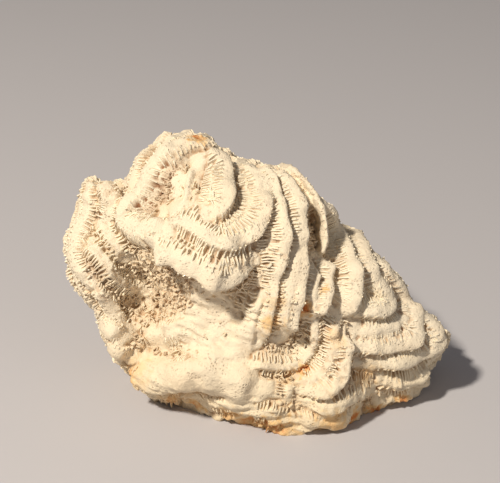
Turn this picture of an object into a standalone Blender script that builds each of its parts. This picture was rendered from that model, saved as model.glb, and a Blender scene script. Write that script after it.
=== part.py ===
"""A dry piece of brain coral: one stony lump with thick winding ridges, cut off flat where it rests."""

import math

import bmesh
import bpy
import numpy as np
from mathutils import Vector
from mathutils.bvhtree import BVHTree
from mathutils import noise

MM = 0.001

# The lump is drawn as seen from in front and a little above: across and up on a plane that leans back,
# and towards the viewer from that plane. All of these are in millimetres.
LEAN = math.radians(28)
PLANE_HEIGHT = 28.7
VIEW_DISTANCE = 400.0
ACROSS = np.array((1.0, 0.0, 0.0))
UP = np.array((0.0, math.sin(LEAN), math.cos(LEAN)))
TOWARDS = np.array((0.0, -math.cos(LEAN), math.sin(LEAN)))
CENTRE = np.array((0.0, 0.0, PLANE_HEIGHT))
EYE = CENTRE + VIEW_DISTANCE * TOWARDS

FRONT_DEPTH = 20.0
BACK_DEPTH = 31.0
RIDGE_ROOM = 1.2
BACK_LUMPS = 2.5
BACK_LUMP_SIZE = 22.0

# The lump's outline, (across, up), clockwise from the ear at its upper left.
OUTLINE = (
    (-42.8, 29.5), (-39.3, 27.6), (-35.8, 26.8), (-32.3, 29.6), (-30.3, 33.8), (-26.8, 37.5),
    (-23.0, 39.8), (-18.8, 40.3), (-13.8, 40.5), (-11.3, 38.8), (-10.3, 36.3), (-6.8, 35.8),
    (-4.8, 33.8), (-1.8, 33.3), (2.5, 32.3), (7.0, 31.5), (11.3, 29.5), (14.8, 26.0),
    (16.3, 23.0), (20.0, 20.5), (23.8, 16.3), (28.8, 12.3), (30.8, 9.3), (34.3, 7.0),
    (37.2, 2.9), (39.2, -2.2), (43.8, -5.6), (47.0, -8.4), (49.8, -12.8), (48.3, -15.8),
    (44.8, -19.0), (44.8, -22.5), (41.3, -26.3), (37.0, -28.8), (31.3, -31.0), (25.8, -33.5),
    (18.8, -36.0), (10.5, -37.5), (3.8, -36.0), (-2.5, -33.0), (-11.3, -31.0), (-17.5, -28.8),
    (-26.3, -26.8), (-29.8, -24.5), (-31.8, -21.0), (-34.3, -20.0), (-36.8, -17.5), (-37.8, -14.0),
    (-40.0, -10.8), (-39.8, -7.5), (-42.3, -3.8), (-45.8, 0.0), (-48.3, 5.0), (-49.3, 10.5),
    (-47.3, 16.3), (-45.5, 21.3), (-45.3, 26.0),
)

# Swells and hollows of the face, (across, up, towards): the lump without its ridges passes through each.
SWELLS = (
    # left fin, and the deep hollow beside it
    (-40.0, 20.0, 5.0), (-42.0, 8.0, 9.0), (-38.0, -2.0, 8.0), (-36.0, -12.0, 6.0), (-30.0, 18.0, 10.0),
    (-29.0, 3.0, 1.0), (-27.0, -4.0, -2.0), (-25.0, -10.0, 3.0), (-21.0, -16.5, 6.0), (-27.5, -15.5, 1.0),
    # arch, inner lobe and the great lobe that overhangs the wall
    (-20.0, 33.0, 10.0), (-24.0, 24.0, 12.0), (-12.0, 26.0, 17.0), (-4.0, 22.0, 18.0), (-15.0, 14.0, 21.0),
    (-24.0, 9.0, 18.0), (-12.0, 5.5, 23.0), (0.0, 7.0, 20.0),
    # wall below the lobe, and the band below the wall
    (-16.0, -3.0, 12.0), (-7.0, -5.0, 12.5), (-8.0, -12.0, 13.0), (-8.0, -18.0, 13.5), (-20.0, -21.0, 11.0),
    (-5.0, -27.0, 12.5), (-18.0, -26.0, 8.0), (5.0, -25.0, 13.0), (10.0, -33.0, 10.0),
    # upright ridges of the middle, and the gap behind the free one
    (4.0, 25.0, 12.0), (8.0, 12.0, 17.0), (5.0, -3.0, 17.0), (13.5, 14.0, 12.5), (12.0, -7.0, 15.0),
    (12.0, -14.0, 9.0), (2.0, -16.0, 12.0), (19.3, 14.5, -2.0), (17.8, 19.5, -1.0), (20.0, 1.0, 10.0),
    (25.0, 5.0, 9.0),
    # terraces of the right-hand corner
    (30.0, 0.0, 6.8), (38.0, -5.0, 2.0), (25.0, -10.0, 9.0), (38.0, -13.0, 4.0), (22.0, -17.0, 11.0),
    (33.0, -22.0, 2.0), (18.0, -24.0, 12.0), (25.0, -30.0, 5.0),
    # rim
    (-47.0, 8.0, 3.0), (-43.0, 28.0, 0.0), (-39.0, -10.0, 1.0), (-30.0, -24.0, 0.0), (-17.5, -28.5, -1.0),
    (10.0, -37.0, 7.0), (37.0, -28.5, -7.0), (45.0, -22.0, -8.0), (49.0, -12.8, -6.0), (30.5, 10.0, -5.0),
    (15.5, 25.0, -5.0), (-14.0, 40.0, -5.0), (-32.0, 30.0, -2.0),
)

# Ridges laid by hand on the face: half width, height, the crest's lean to the right and upwards as a share
# of its height, whether it runs on over the edge from its first point, and the crest's route as (across, up).
RIDGES = {
    "arch": (3.5, 4.0, (0, 0), True, (
        (-13, 38.5), (-18, 37.3), (-23, 35.3), (-27, 32), (-28.5, 27.5), (-30.5, 24), (-33, 20.5),
        (-33.5, 17.5), (-31, 15.5), (-27.5, 15.8), (-24, 17),
    )),
    "inner_lobe": (3.0, 3.4, (0.35, -0.1), True, (
        (-8, 34.5), (-6, 32), (-5.2, 28), (-5.6, 24), (-7.5, 21), (-11, 20),
    )),
    "inner_line": (0.8, 1.1, (0, 0), False, (
        (-14.5, 33), (-17, 28), (-17.5, 24), (-19.5, 21.5), (-21.5, 19.5),
    )),
    "loop": (2.9, 3.8, (0.25, -0.35), True, (
        (-0.5, 31.5), (1.8, 28.5), (3.2, 24.5), (3.2, 20), (2, 15.5), (-0.8, 12.5), (-5.5, 11.3),
        (-10.5, 12.5), (-14.5, 15), (-19, 17), (-24, 17),
    )),
    "lip": (3.2, 3.6, (0.1, -0.8), False, (
        (-27, 8.8), (-22, 7), (-17.5, 4), (-12, 1.6), (-7.6, 0.4), (-3.5, 2.4), (1, 4.2),
    )),
    "upright_1": (1.8, 3.3, (0.45, 0), True, (
        (3.3, 31), (6, 27), (7.8, 22.5), (8.8, 17.5), (8.8, 12.5), (8, 8), (6.5, 3), (5, -2), (4, -6.3),
        (3.3, -10.5), (2.8, -14),
    )),
    "upright_2": (1.5, 2.8, (0.4, 0), False, (
        (2, -2), (0.3, -5), (-0.5, -8.5), (-0.5, -12), (0, -15),
    )),
    "upright_3": (1.4, 2.4, (0.4, 0), False, (
        (10.7, 10), (10.3, 5.5), (9.3, 0.5), (8.3, -3.8), (7.8, -7.5), (7.3, -12),
    )),
    "upright_4": (1.8, 3.4, (0.45, 0), True, (
        (7.5, 30.8), (10.5, 26.5), (12.8, 21.5), (13.8, 16.3), (13.8, 11.3), (13.3, 6.3), (12.8, 1.3),
        (12, -3.8), (10.8, -8), (9.8, -12.5),
    )),
    "short_1": (1.4, 2.4, (0.4, 0), False, (
        (16.8, 6.5), (16.3, 2.5), (15.8, -1.5), (15.3, -4.5),
    )),
    "short_2": (1.6, 3.2, (0.4, 0), False, (
        (19.8, 9), (20.5, 6.5), (20, 2.5), (19, -1.5), (18, -5), (16.8, -8),
    )),
    "shoulder": (2.6, 3.9, (0.3, -0.1), True, (
        (18, 21.8), (21, 18.5), (23.2, 14.5), (24.8, 9.5), (25.9, 4.5), (26, -0.3), (25.3, -3.8), (23.2, -6.3),
    )),
    "terrace_1": (2.6, 2.7, (0.4, -0.3), True, (
        (26, 15.5), (28.2, 11.5), (30.2, 7), (32.6, 2.2), (34.8, -1.2), (35.6, -3.6), (33.3, -5.2),
        (29.3, -5.3), (25.8, -5.8),
    )),
    "terrace_2": (1.7, 1.5, (0.2, -0.4), False, (
        (38, -6.8), (36.5, -8.8), (33.8, -10.2), (30.5, -10.7), (27.5, -11.2),
    )),
    "terrace_3": (2.4, 2.7, (0.4, -0.4), True, (
        (31.8, 9.3), (35.2, 4.8), (38.2, 0.3), (40.6, -3.8), (42.2, -7.6), (42.6, -11), (41.5, -13.2),
        (38.8, -14.5), (35.3, -15.2), (31.5, -15.4), (27.9, -15),
    )),
    "terrace_4": (2.3, 3.2, (0.4, -0.3), False, (
        (39.3, -1.2), (42.3, -4.3), (45.3, -7.2), (47.4, -10.4), (48.2, -12.8), (46.8, -15.5), (43.3, -17.8),
        (38.2, -19), (32.8, -20.2),
    )),
    "under_1": (2.0, 2.8, (0.2, -0.3), True, (
        (44.3, -21.5), (42.3, -23.5), (39.3, -24.5), (36.3, -25), (33.3, -24.5),
    )),
    "under_2": (1.8, 2.5, (0.2, -0.3), True, (
        (39.5, -26.8), (36.8, -27.8), (33.8, -28.5),
    )),
    "buttress": (1.8, 3.3, (0.5, -0.3), False, (
        (24.3, -11.5), (24.5, -15.5), (24, -19.5), (22.8, -23.3), (20, -25.5), (16.3, -26.5),
        (12.8, -26),
    )),
    "foot_1": (2.2, 3.0, (0, -0.3), False, (
        (30.8, -27), (27.8, -27.8), (24.3, -28.5), (21.3, -29.8), (19, -31), (14, -30),
    )),
    "foot_2": (2.1, 2.8, (0, -0.2), False, (
        (11.3, -35), (16.3, -34), (22.5, -33), (26.8, -31.5),
    )),
    "foot_3": (2.8, 1.5, (0, 0), False, (
        (-14, -29.5), (-6, -30), (1.3, -31.5), (7.5, -33),
    )),
    "rough_1": (1.6, 2.4, (0.2, -0.2), False, (
        (22, -8), (20.3, -11.3), (19.5, -15), (17.8, -19), (15, -21.8), (12, -22.5),
    )),
    "rough_2": (1.6, 2.2, (0.1, -0.3), False, (
        (15.8, -10), (14.8, -13.8), (12.8, -17), (10.5, -18.7), (7, -19.3), (3.3, -19), (-1.3, -18.7),
    )),
    "pillar": (1.3, 3.0, (0, 0), False, (
        (9.3, -23.8), (9, -27.5),
    )),
    "band": (5.0, 2.4, (0, 0), True, (
        (-30, -22.3), (-24, -22), (-16, -22.3), (-8, -23.8), (0, -26),
    )),
    "fin_edge": (2.5, 2.1, (0, 0), False, (
        (-43.3, 27), (-43.2, 23.5), (-43.5, 19.5), (-45.5, 15), (-46.5, 10.5), (-46, 6), (-43.5, 1.5),
    )),
    "saddle": (2.8, 2.8, (0, 0), True, (
        (-36.6, 26.6), (-36.4, 23.5), (-37, 20), (-38.5, 17),
    )),
    "fin_1": (2.2, 2.1, (0, 0), False, (
        (-38.5, 17), (-36.5, 14), (-35, 11), (-33, 7),
    )),
    "fin_2": (2.0, 1.9, (0, 0), False, (
        (-42, 12.5), (-39, 9.5), (-36.5, 6.5), (-34.5, 3.5), (-31, 0.8), (-28, -1.5),
    )),
    "fin_3": (2.3, 2.1, (0, 0), False, (
        (-41, -0.5), (-37.5, -3.5), (-34, -6), (-31, -8),
    )),
    "knob_1": (3.0, 1.9, (0, 0), True, (
        (-39, -8.8), (-36, -10.5), (-33, -12),
    )),
    "knob_2": (3.0, 1.9, (0, 0), True, (
        (-36.5, -15.5), (-33.8, -17), (-31, -18),
    )),
    "hollow_bump": (3.2, 2.4, (0, 0), False, (
        (-25, -11.5), (-21, -10), (-17, -9.8),
    )),
}

# The thin fin that stands free beside the middle: its crest as (across, up, towards), the way from there to
# its root, and its section as (share of that way, half thickness).
FIN_CREST = (
    (8.5, 31.0, 1.0), (12.0, 28.3, 5.0), (14.8, 25.0, 8.5), (16.7, 21.0, 10.5), (17.9, 16.5, 11.5),
    (18.2, 12.5, 12.0), (17.0, 9.3, 11.5),
)
FIN_WAY = (-3.5, 0.0, -12.0)
FIN_SECTION = ((1.0, 1.9), (0.5, 1.2), (0.12, 0.75), (0.02, 0.45))
FIN_WAVE = 0.5
FIN_WAVE_LENGTH = 2.2

# Ridges that fill the sides and the back.
RIDGE_SPACING = 5.6
LEAST_SPACING = 0.72
FILL_HALF_WIDTH = 1.9
FILL_HEIGHT = 3.5
FILL_STEP = 0.7
FILL_LONGEST = 75.0
FILL_SHORTEST = 7.0
FILL_BELOW = 0.12
RIM_SHARE = 0.4
RIM_SLOPE = 1.2
TURN_SIZE = 13.0
TURN_MOST = 2.8
TURN_AT_RIM = 0.25

VALLEY_SINK = 1.0
SKEW = 0.5
PLATE_REACH = 1.7
PLATE_BULGE = 1.35
FULL_SKEW_LEAN = 0.4
TAPER_START = 0.3
TAPER_LENGTH = 4.0
BASE_CUT = 0.0
FOOT_FROM = 8.0
FOOT_DROP = 6.0
FOOT_WEAR = 0.2
SPHERE_LEVELS = 7
BASE_VOXEL = 0.9
BASE_SMOOTHING = 8
SKIN_VOXEL = 0.6
FACES = 10350

STONE = (0.86, 0.79, 0.65, 1.0)
STONE_ROUGHNESS = 0.85


def on_plane(points):
    """Points given as (across, up, towards), moved to where they look the same from the eye."""
    points = np.asarray(points, float)
    shrink = 1 - points[..., 2:3] / VIEW_DISTANCE
    return (
        CENTRE
        + shrink * (points[..., 0:1] * ACROSS + points[..., 1:2] * UP)
        + points[..., 2:3] * TOWARDS
    )


def outline_radius(angles):
    """How far the outline is from the centre of the plane, at each angle."""
    corners = np.array(OUTLINE)
    corner_angles = np.arctan2(corners[:, 1], corners[:, 0])
    order = np.argsort(corner_angles)
    radii = np.hypot(corners[:, 0], corners[:, 1])
    return np.interp(angles, corner_angles[order], radii[order], period=2 * math.pi)


def bend_energy(distance):
    """The kernel of a thin plate."""
    return np.where(distance > 0, distance**2 * np.log(np.maximum(distance, 1e-9)), 0.0)


def swell_function():
    """A thin plate bent through every swell, as the amount to add to the dome."""
    marks = np.array(SWELLS)
    flat = marks[:, :2]
    reach = np.hypot(flat[:, 0], flat[:, 1])
    share = np.clip(reach / outline_radius(np.arctan2(flat[:, 1], flat[:, 0])), 0, 1)
    extra = marks[:, 2] - FRONT_DEPTH * np.sqrt(1 - share**2)
    gaps = np.linalg.norm(flat[:, None] - flat[None], axis=2)
    edge = np.hstack([np.ones((len(flat), 1)), flat])
    count = len(flat)
    system = np.zeros((count + 3, count + 3))
    system[:count, :count] = bend_energy(gaps)
    system[:count, count:] = edge
    system[count:, :count] = edge.T
    weights = np.linalg.solve(system, np.concatenate([extra, np.zeros(3)]))

    def swell(points):
        far = np.linalg.norm(points[:, None] - flat[None], axis=2)
        return bend_energy(far) @ weights[:count] + weights[count] + points @ weights[count + 1:]

    return swell


def base_points(directions):
    """The lump without ridges, for unit directions given as (across, up, towards)."""
    nose = directions[:, 2]
    angles = np.arctan2(directions[:, 1], directions[:, 0])
    radius = outline_radius(angles) - RIDGE_ROOM
    flat = directions[:, :2] * radius[:, None]
    swell = swell_function()(flat)
    keep = np.where(nose > 0, 1.0, np.clip(1 + nose, 0, 1) ** 1.5)
    towards = np.where(nose > 0, FRONT_DEPTH, BACK_DEPTH) * nose + swell * keep
    return on_plane(np.column_stack([flat, towards]))


def coordinates(mesh):
    points = np.empty(len(mesh.vertices) * 3)
    mesh.vertices.foreach_get("co", points)
    return points.reshape(-1, 3)


def normals_of(mesh):
    mesh.update()
    normals = np.empty(len(mesh.vertices) * 3)
    mesh.vertex_normals.foreach_get("vector", normals)
    return normals.reshape(-1, 3)


def set_coordinates(mesh, points):
    mesh.vertices.foreach_set("co", np.asarray(points, float).ravel())
    mesh.update()


def apply_modifier(piece, kind, **values):
    """Adds a modifier with these values and applies it."""
    modifier = piece.modifiers.new(kind.title(), kind)
    for name, value in values.items():
        setattr(modifier, name, value)
    with bpy.context.temp_override(object=piece, active_object=piece, selected_objects=[piece]):
        bpy.ops.object.modifier_apply(modifier=modifier.name)


def make_base():
    """The lump without its ridges, in millimetres."""
    bpy.ops.mesh.primitive_ico_sphere_add(subdivisions=SPHERE_LEVELS, radius=1)
    lump = bpy.context.object
    lump.name = "brain_coral"
    set_coordinates(lump.data, base_points(coordinates(lump.data)))
    apply_modifier(lump, "REMESH", mode="VOXEL", voxel_size=BASE_VOXEL)
    apply_modifier(lump, "SMOOTH", factor=0.5, iterations=BASE_SMOOTHING)
    points = coordinates(lump.data)
    normals = normals_of(lump.data)
    behind = np.clip(-(normals @ TOWARDS), 0, 1)
    lumps = np.array([noise.noise(Vector(p / BACK_LUMP_SIZE)) for p in points])
    set_coordinates(lump.data, points + normals * (lumps * behind * 2 * BACK_LUMPS)[:, None])
    return lump


def curve_through(route, step):
    """Points a step apart on a smooth curve through the route's own points."""
    route = np.asarray(route, float)
    padded = np.vstack([2 * route[0] - route[1], route, 2 * route[-1] - route[-2]])
    found = []
    for a, b, c, d in zip(padded, padded[1:], padded[2:], padded[3:]):
        count = max(1, round(np.linalg.norm(c - b) / step))
        for t in np.arange(count) / count:
            square = 2 * a - 5 * b + 4 * c - d
            cube = 3 * b - a - 3 * c + d
            found.append(0.5 * (2 * b + (c - a) * t + square * t**2 + cube * t**3))
    found.append(route[-1])
    return np.array(found)


def sight(tree, spot):
    """Where the line of sight through a spot of the plane meets the lump, and the normal there."""
    far = Vector(on_plane((spot[0], spot[1], 0.0)))
    hit, normal, _, _ = tree.ray_cast(Vector(EYE), (far - Vector(EYE)).normalized())
    if hit is None:
        hit, normal, _, _ = tree.find_nearest(far)
    return np.array(hit), np.array(normal)


def lay_route(tree, route, height, lean):
    """The line on the lump from which a ridge rises, so that its crest is seen along the route."""
    laid = []
    for spot in curve_through(route, FILL_STEP):
        shift = height * np.array(lean)
        for _ in range(4):
            hit, normal = sight(tree, spot - shift)
            tilt = np.array((normal @ ACROSS, normal @ UP))
            shift = 0.5 * shift + 0.5 * height * (tilt + lean)
        laid.append(hit)
    laid = np.array(laid)
    for _ in range(3):
        laid[1:-1] = 0.25 * laid[:-2] + 0.5 * laid[1:-1] + 0.25 * laid[2:]
    return np.array([tree.find_nearest(Vector(place))[0] for place in laid])


class RidgeField:
    """The ridges already laid, with the direction that the next ones take beside them."""

    def __init__(self, tree):
        self.tree = tree
        self.lines = []
        self.points = np.zeros((0, 3))
        self.tangents = np.zeros((0, 3))

    def add(self, points, half_width, height, lean=(0, 0), tapers=(True, True)):
        self.lines.append((points, half_width, height * crest_shape(points, tapers), lean))
        self.points = np.vstack([self.points, points])
        self.tangents = np.vstack([self.tangents, np.gradient(points, axis=0)])

    def direction(self, place, normal, last):
        """The way a ridge runs here: along its neighbours, and turning slowly where it has none."""
        behind = float(np.clip(TURN_AT_RIM - 2.2 * (normal @ TOWARDS), TURN_AT_RIM, 1))
        turn = TURN_MOST * behind * noise.noise(Vector(place / TURN_SIZE))
        plain = np.cross(normal, ACROSS + 0.4 * TOWARDS)
        plain = plain * math.cos(turn) + np.cross(normal, plain) * math.sin(turn)
        near = np.linalg.norm(self.points - place, axis=1)
        close = near < 1.6 * RIDGE_SPACING
        tangents = self.tangents[close]
        tangents = tangents * np.sign(tangents @ last + 1e-12)[:, None]
        beside = (tangents * np.exp(-((near[close] / RIDGE_SPACING) ** 2))[:, None]).sum(axis=0)
        plain = plain / (np.linalg.norm(plain) + 1e-9)
        chosen = plain * np.sign(plain @ last + 1e-12) * 0.6 + beside * (1.1 - 0.6 * behind) + last * 1.2
        chosen = chosen - (chosen @ normal) * normal
        return chosen / (np.linalg.norm(chosen) + 1e-9)

    def grow(self, start, heading, others):
        """Points from start onwards, until the ridge meets another, the base or its longest length."""
        place, last, found = start, heading, []
        for _ in range(int(FILL_LONGEST / FILL_STEP)):
            hit, normal, _, _ = self.tree.find_nearest(Vector(place))
            last = self.direction(np.array(hit), np.array(normal), last)
            place = np.array(self.tree.find_nearest(Vector(np.array(hit) + last * FILL_STEP))[0])
            if place[2] < -2.0:
                break
            if len(others) and np.linalg.norm(others - place, axis=1).min() < LEAST_SPACING * RIDGE_SPACING:
                break
            own = np.array(found[: -int(RIDGE_SPACING / FILL_STEP)])
            if len(own) and np.linalg.norm(own - place, axis=1).min() < LEAST_SPACING * RIDGE_SPACING:
                break
            found.append(place)
        return found

    def behind_rim(self, points):
        """A share of a ridge's height that is small on the rim, so that it spoils no outline."""
        normals = np.array([self.tree.find_nearest(Vector(point))[1] for point in points])
        return np.clip(RIM_SHARE - RIM_SLOPE * normals @ TOWARDS, RIM_SHARE, 1)

    def fill(self):
        """Adds ridges one spacing away from those there are, until the sides and back are covered."""
        queue = list(range(len(self.points)))
        while queue:
            spot = queue.pop(0)
            origin, tangent = self.points[spot], self.tangents[spot]
            for side in (1, -1):
                normal = np.array(self.tree.find_nearest(Vector(origin))[1])
                across = np.cross(normal, tangent)
                across = across / (np.linalg.norm(across) + 1e-9)
                hit, facing, _, _ = self.tree.find_nearest(Vector(origin + side * across * RIDGE_SPACING))
                start = np.array(hit)
                hidden = np.array(facing) @ TOWARDS < FILL_BELOW
                if start[2] < 1.0 or not hidden:
                    continue
                if np.linalg.norm(self.points - start, axis=1).min() < 0.96 * RIDGE_SPACING:
                    continue
                heading = tangent / (np.linalg.norm(tangent) + 1e-9)
                ahead = self.grow(start, heading, self.points)
                back = self.grow(start, -heading, self.points)
                line = np.array(back[::-1] + [start] + ahead)
                if len(line) * FILL_STEP < FILL_SHORTEST:
                    continue
                first = len(self.points)
                self.add(line, FILL_HALF_WIDTH, FILL_HEIGHT * self.behind_rim(line))
                queue.extend(range(first, len(self.points), 4))


def lay_ridges(tree):
    """Every ridge of the lump: those of the face, run on over the edge, then those of the sides and back."""
    field = RidgeField(tree)
    laid = {}
    for name, (half_width, height, lean, runs_over, route) in RIDGES.items():
        laid[name] = lay_route(tree, route, height, lean)
        field.add(laid[name], half_width, height, lean, (not runs_over, True))
    for name, (half_width, height, _, runs_over, _) in RIDGES.items():
        if not runs_over:
            continue
        start, inward = laid[name][0], laid[name][0] - laid[name][3]
        heading = inward / np.linalg.norm(inward)
        near_own = np.linalg.norm(field.points - start, axis=1) < LEAST_SPACING * RIDGE_SPACING
        run = field.grow(start, heading, field.points[~near_own])
        if len(run) > 2:
            run = np.array(run)
            low = min(height, FILL_HEIGHT) * field.behind_rim(run)
            field.add(run, min(half_width, FILL_HALF_WIDTH + 0.5), low, tapers=(False, True))
    field.fill()
    return field.lines


def crest_shape(points, tapers):
    """A ridge's height along its crest, as a share: it waves a little, and sinks at its free ends."""
    run = np.arange(len(points)) * FILL_STEP
    shape = 1 + 0.12 * np.sin(run / 3.1 + points[0, 0]) + 0.08 * np.sin(run / 1.3)
    if tapers[0]:
        shape = shape * np.minimum(1, TAPER_START + run / TAPER_LENGTH)
    if tapers[1]:
        shape = shape * np.minimum(1, TAPER_START + run[::-1] / TAPER_LENGTH)
    return shape


def skew_of(lean):
    """How far a ridge is from even sides, from 0 to 1, for its lean."""
    return min(1.0, math.hypot(*lean) / FULL_SKEW_LEAN)


def side_of(offsets, lean):
    """How far to the steep side each offset from the crest points, from -1 to 1."""
    steep = lean[0] * ACROSS + lean[1] * UP
    return offsets @ steep / (np.linalg.norm(steep) * np.linalg.norm(offsets, axis=-1) + 0.05)


def side_width(half_width, lean, side):
    """The half width on one side: a leaning ridge is steep where it leans to, and long on the other side."""
    return half_width * (1 - SKEW * skew_of(lean) * side)


def profile(reach, lean, side):
    """A ridge's height at a reach from its crest, as a share: a plate bulges on its long side."""
    share = np.clip((reach - 0.35) / 1.15, 0, 1)
    round_part = 1 - share * share * (3 - 2 * share)
    plate_part = 1 - np.clip(reach / PLATE_REACH, 0, 1) ** PLATE_BULGE
    plate = skew_of(lean) * np.clip(0.5 - 0.8 * side, 0, 1)
    return round_part * (1 - plate) + plate_part * plate


def ridge_lift(points, lines):
    """How far the ridges lift each point, and how much they lean there."""
    total = np.zeros(len(points))
    leans = np.zeros((len(points), 2))
    for line, half_width, crest, lean in lines:
        reach = 2.6 * half_width + 1.0
        low, high = line.min(axis=0) - reach, line.max(axis=0) + reach
        near = np.flatnonzero(((points > low) & (points < high)).all(axis=1))
        if not len(near):
            continue
        close = points[near]
        squares = (close**2).sum(axis=1)[:, None] + (line**2).sum(axis=1) - 2 * close @ line.T
        along = squares.argmin(axis=1)
        offsets = close - line[along]
        side = side_of(offsets, lean)
        width = side_width(half_width, lean, side)
        lift = crest[along] * profile(np.linalg.norm(offsets, axis=1) / width, lean, side)
        total[near] += lift**4
        leans[near] += (lift**4)[:, None] * lean
    worn = FOOT_WEAR + (1 - FOOT_WEAR) * np.clip(points[:, 2] / FOOT_FROM, 0, 1)
    return worn * total**0.25, leans / np.maximum(total, 1e-9)[:, None]


def make_fin():
    """The thin free fin, as a closed shape whose root is inside the lump."""
    crest = curve_through(FIN_CREST, FILL_STEP)
    run = np.arange(len(crest)) * FILL_STEP
    crest[:, 2] += FIN_WAVE * np.sin(run * 2 * math.pi / FIN_WAVE_LENGTH) * np.sin(run / 3.0)
    tops = on_plane(crest)
    roots = on_plane(crest + FIN_WAY)
    sideways = np.cross(np.gradient(tops, axis=0), roots - tops)
    sideways = sideways / np.linalg.norm(sideways, axis=1)[:, None]
    section = FIN_SECTION + ((0.0, 0.0),) + tuple((share, -half) for share, half in reversed(FIN_SECTION))
    rings = [tops + share * (roots - tops) + half * sideways for share, half in section]
    points = np.stack(rings, axis=1).reshape(-1, 3)
    count = len(section)
    faces = [tuple(range(count)), tuple(range(len(points) - count, len(points)))]
    for first in range(0, len(points) - count, count):
        for corner in range(count):
            here, beside = first + corner, first + (corner + 1) % count
            faces.append((here, beside, beside + count, here + count))
    mesh = bpy.data.meshes.new("fin")
    mesh.from_pydata(points.tolist(), [], faces)
    return mesh


def join_fin(lump, fin):
    """Adds the fin's mesh to the lump's."""
    shape = bmesh.new()
    shape.from_mesh(fin)
    bmesh.ops.recalc_face_normals(shape, faces=shape.faces[:])
    shape.from_mesh(lump.data)
    shape.to_mesh(lump.data)
    shape.free()


def raise_ridges(lump, lines):
    points = coordinates(lump.data)
    normals = normals_of(lump.data)
    lift, lean = ridge_lift(points, lines)
    aside = lean[:, :1] * ACROSS + lean[:, 1:] * UP
    set_coordinates(lump.data, points + normals * (lift - VALLEY_SINK)[:, None] + aside * lift[:, None])


def spread_foot(lump):
    """Draws the lowest part down, so that the cut below it is broad."""
    points = coordinates(lump.data)
    share = np.clip(1 - points[:, 2] / FOOT_FROM, 0, 1.5)
    points[:, 2] -= FOOT_DROP * share**2
    set_coordinates(lump.data, points)


def drop_crumbs(shape):
    """Keeps only the largest of the shape's separate shells."""
    shells, left = [], set(shape.verts)
    while left:
        shell, edge = set(), [left.pop()]
        while edge:
            corner = edge.pop()
            shell.add(corner)
            found = {e.other_vert(corner) for e in corner.link_edges} & left
            left -= found
            edge.extend(found)
        shells.append(shell)
    shells.sort(key=len)
    for shell in shells[:-1]:
        bmesh.ops.delete(shape, geom=list(shell), context="VERTS")


def cut_base(lump):
    """Cuts the lump off flat at the height of its base, and closes the cut."""
    shape = bmesh.new()
    shape.from_mesh(lump.data)
    everything = shape.verts[:] + shape.edges[:] + shape.faces[:]
    cut = bmesh.ops.bisect_plane(
        shape, geom=everything, dist=1e-6, plane_co=(0, 0, BASE_CUT), plane_no=(0, 0, 1), clear_inner=True
    )
    rim = [edge for edge in cut["geom_cut"] if isinstance(edge, bmesh.types.BMEdge)]
    bmesh.ops.holes_fill(shape, edges=rim, sides=0)
    bmesh.ops.triangulate(shape, faces=shape.faces[:])
    drop_crumbs(shape)
    shape.to_mesh(lump.data)
    shape.free()


def stone_material():
    """Dry cream-white skeleton."""
    stone = bpy.data.materials.new("coral_stone")
    stone.use_nodes = True
    shader = stone.node_tree.nodes["Principled BSDF"]
    shader.inputs["Base Color"].default_value = STONE
    shader.inputs["Roughness"].default_value = STONE_ROUGHNESS
    shader.inputs["Metallic"].default_value = 0.0
    return stone


def make_coral():
    lump = make_base()
    tree = BVHTree.FromPolygons(
        [Vector(p) for p in coordinates(lump.data)], [tuple(f.vertices) for f in lump.data.polygons]
    )
    lines = lay_ridges(tree)
    raise_ridges(lump, lines)
    spread_foot(lump)
    join_fin(lump, make_fin())
    apply_modifier(lump, "REMESH", mode="VOXEL", voxel_size=SKIN_VOXEL)
    apply_modifier(lump, "DECIMATE", ratio=FACES / (2 * len(lump.data.polygons)))
    cut_base(lump)
    set_coordinates(lump.data, coordinates(lump.data) * MM)
    lump.data.materials.clear()
    lump.data.materials.append(stone_material())
    return lump


def main():
    for thing in list(bpy.data.objects):
        bpy.data.objects.remove(thing)
    coral = make_coral()
    collection = bpy.data.collections.new("brain_coral")
    bpy.context.scene.collection.children.link(collection)
    for holder in list(coral.users_collection):
        holder.objects.unlink(coral)
    collection.objects.link(coral)


main()
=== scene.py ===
"""A dry piece of brain coral on a pale floor, with its skin, fine ribs, pits and stains."""

import math

import bmesh
import bpy
import numpy as np
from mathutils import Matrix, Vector
from mathutils.bvhtree import BVHTree
from mathutils.kdtree import KDTree
from mathutils import noise


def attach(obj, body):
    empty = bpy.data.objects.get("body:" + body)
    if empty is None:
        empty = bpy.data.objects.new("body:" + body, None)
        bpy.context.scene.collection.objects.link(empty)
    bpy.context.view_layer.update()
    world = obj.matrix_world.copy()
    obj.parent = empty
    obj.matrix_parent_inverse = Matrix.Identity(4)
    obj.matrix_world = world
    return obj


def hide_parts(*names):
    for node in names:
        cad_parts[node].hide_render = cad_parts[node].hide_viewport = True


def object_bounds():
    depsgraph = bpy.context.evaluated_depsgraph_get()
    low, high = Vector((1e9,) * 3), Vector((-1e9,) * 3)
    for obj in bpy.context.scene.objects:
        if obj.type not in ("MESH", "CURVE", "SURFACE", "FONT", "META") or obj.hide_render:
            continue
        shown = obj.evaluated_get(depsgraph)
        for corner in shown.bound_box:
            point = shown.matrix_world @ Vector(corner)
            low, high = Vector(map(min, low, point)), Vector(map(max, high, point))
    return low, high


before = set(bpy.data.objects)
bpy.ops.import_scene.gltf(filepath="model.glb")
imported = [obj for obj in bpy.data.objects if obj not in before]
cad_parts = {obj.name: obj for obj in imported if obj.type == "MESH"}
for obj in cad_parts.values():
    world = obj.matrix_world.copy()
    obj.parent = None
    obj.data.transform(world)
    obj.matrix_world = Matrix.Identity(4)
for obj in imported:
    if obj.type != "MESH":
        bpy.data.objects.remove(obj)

CAD_LOW, CAD_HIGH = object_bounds()
MM = 0.001

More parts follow.
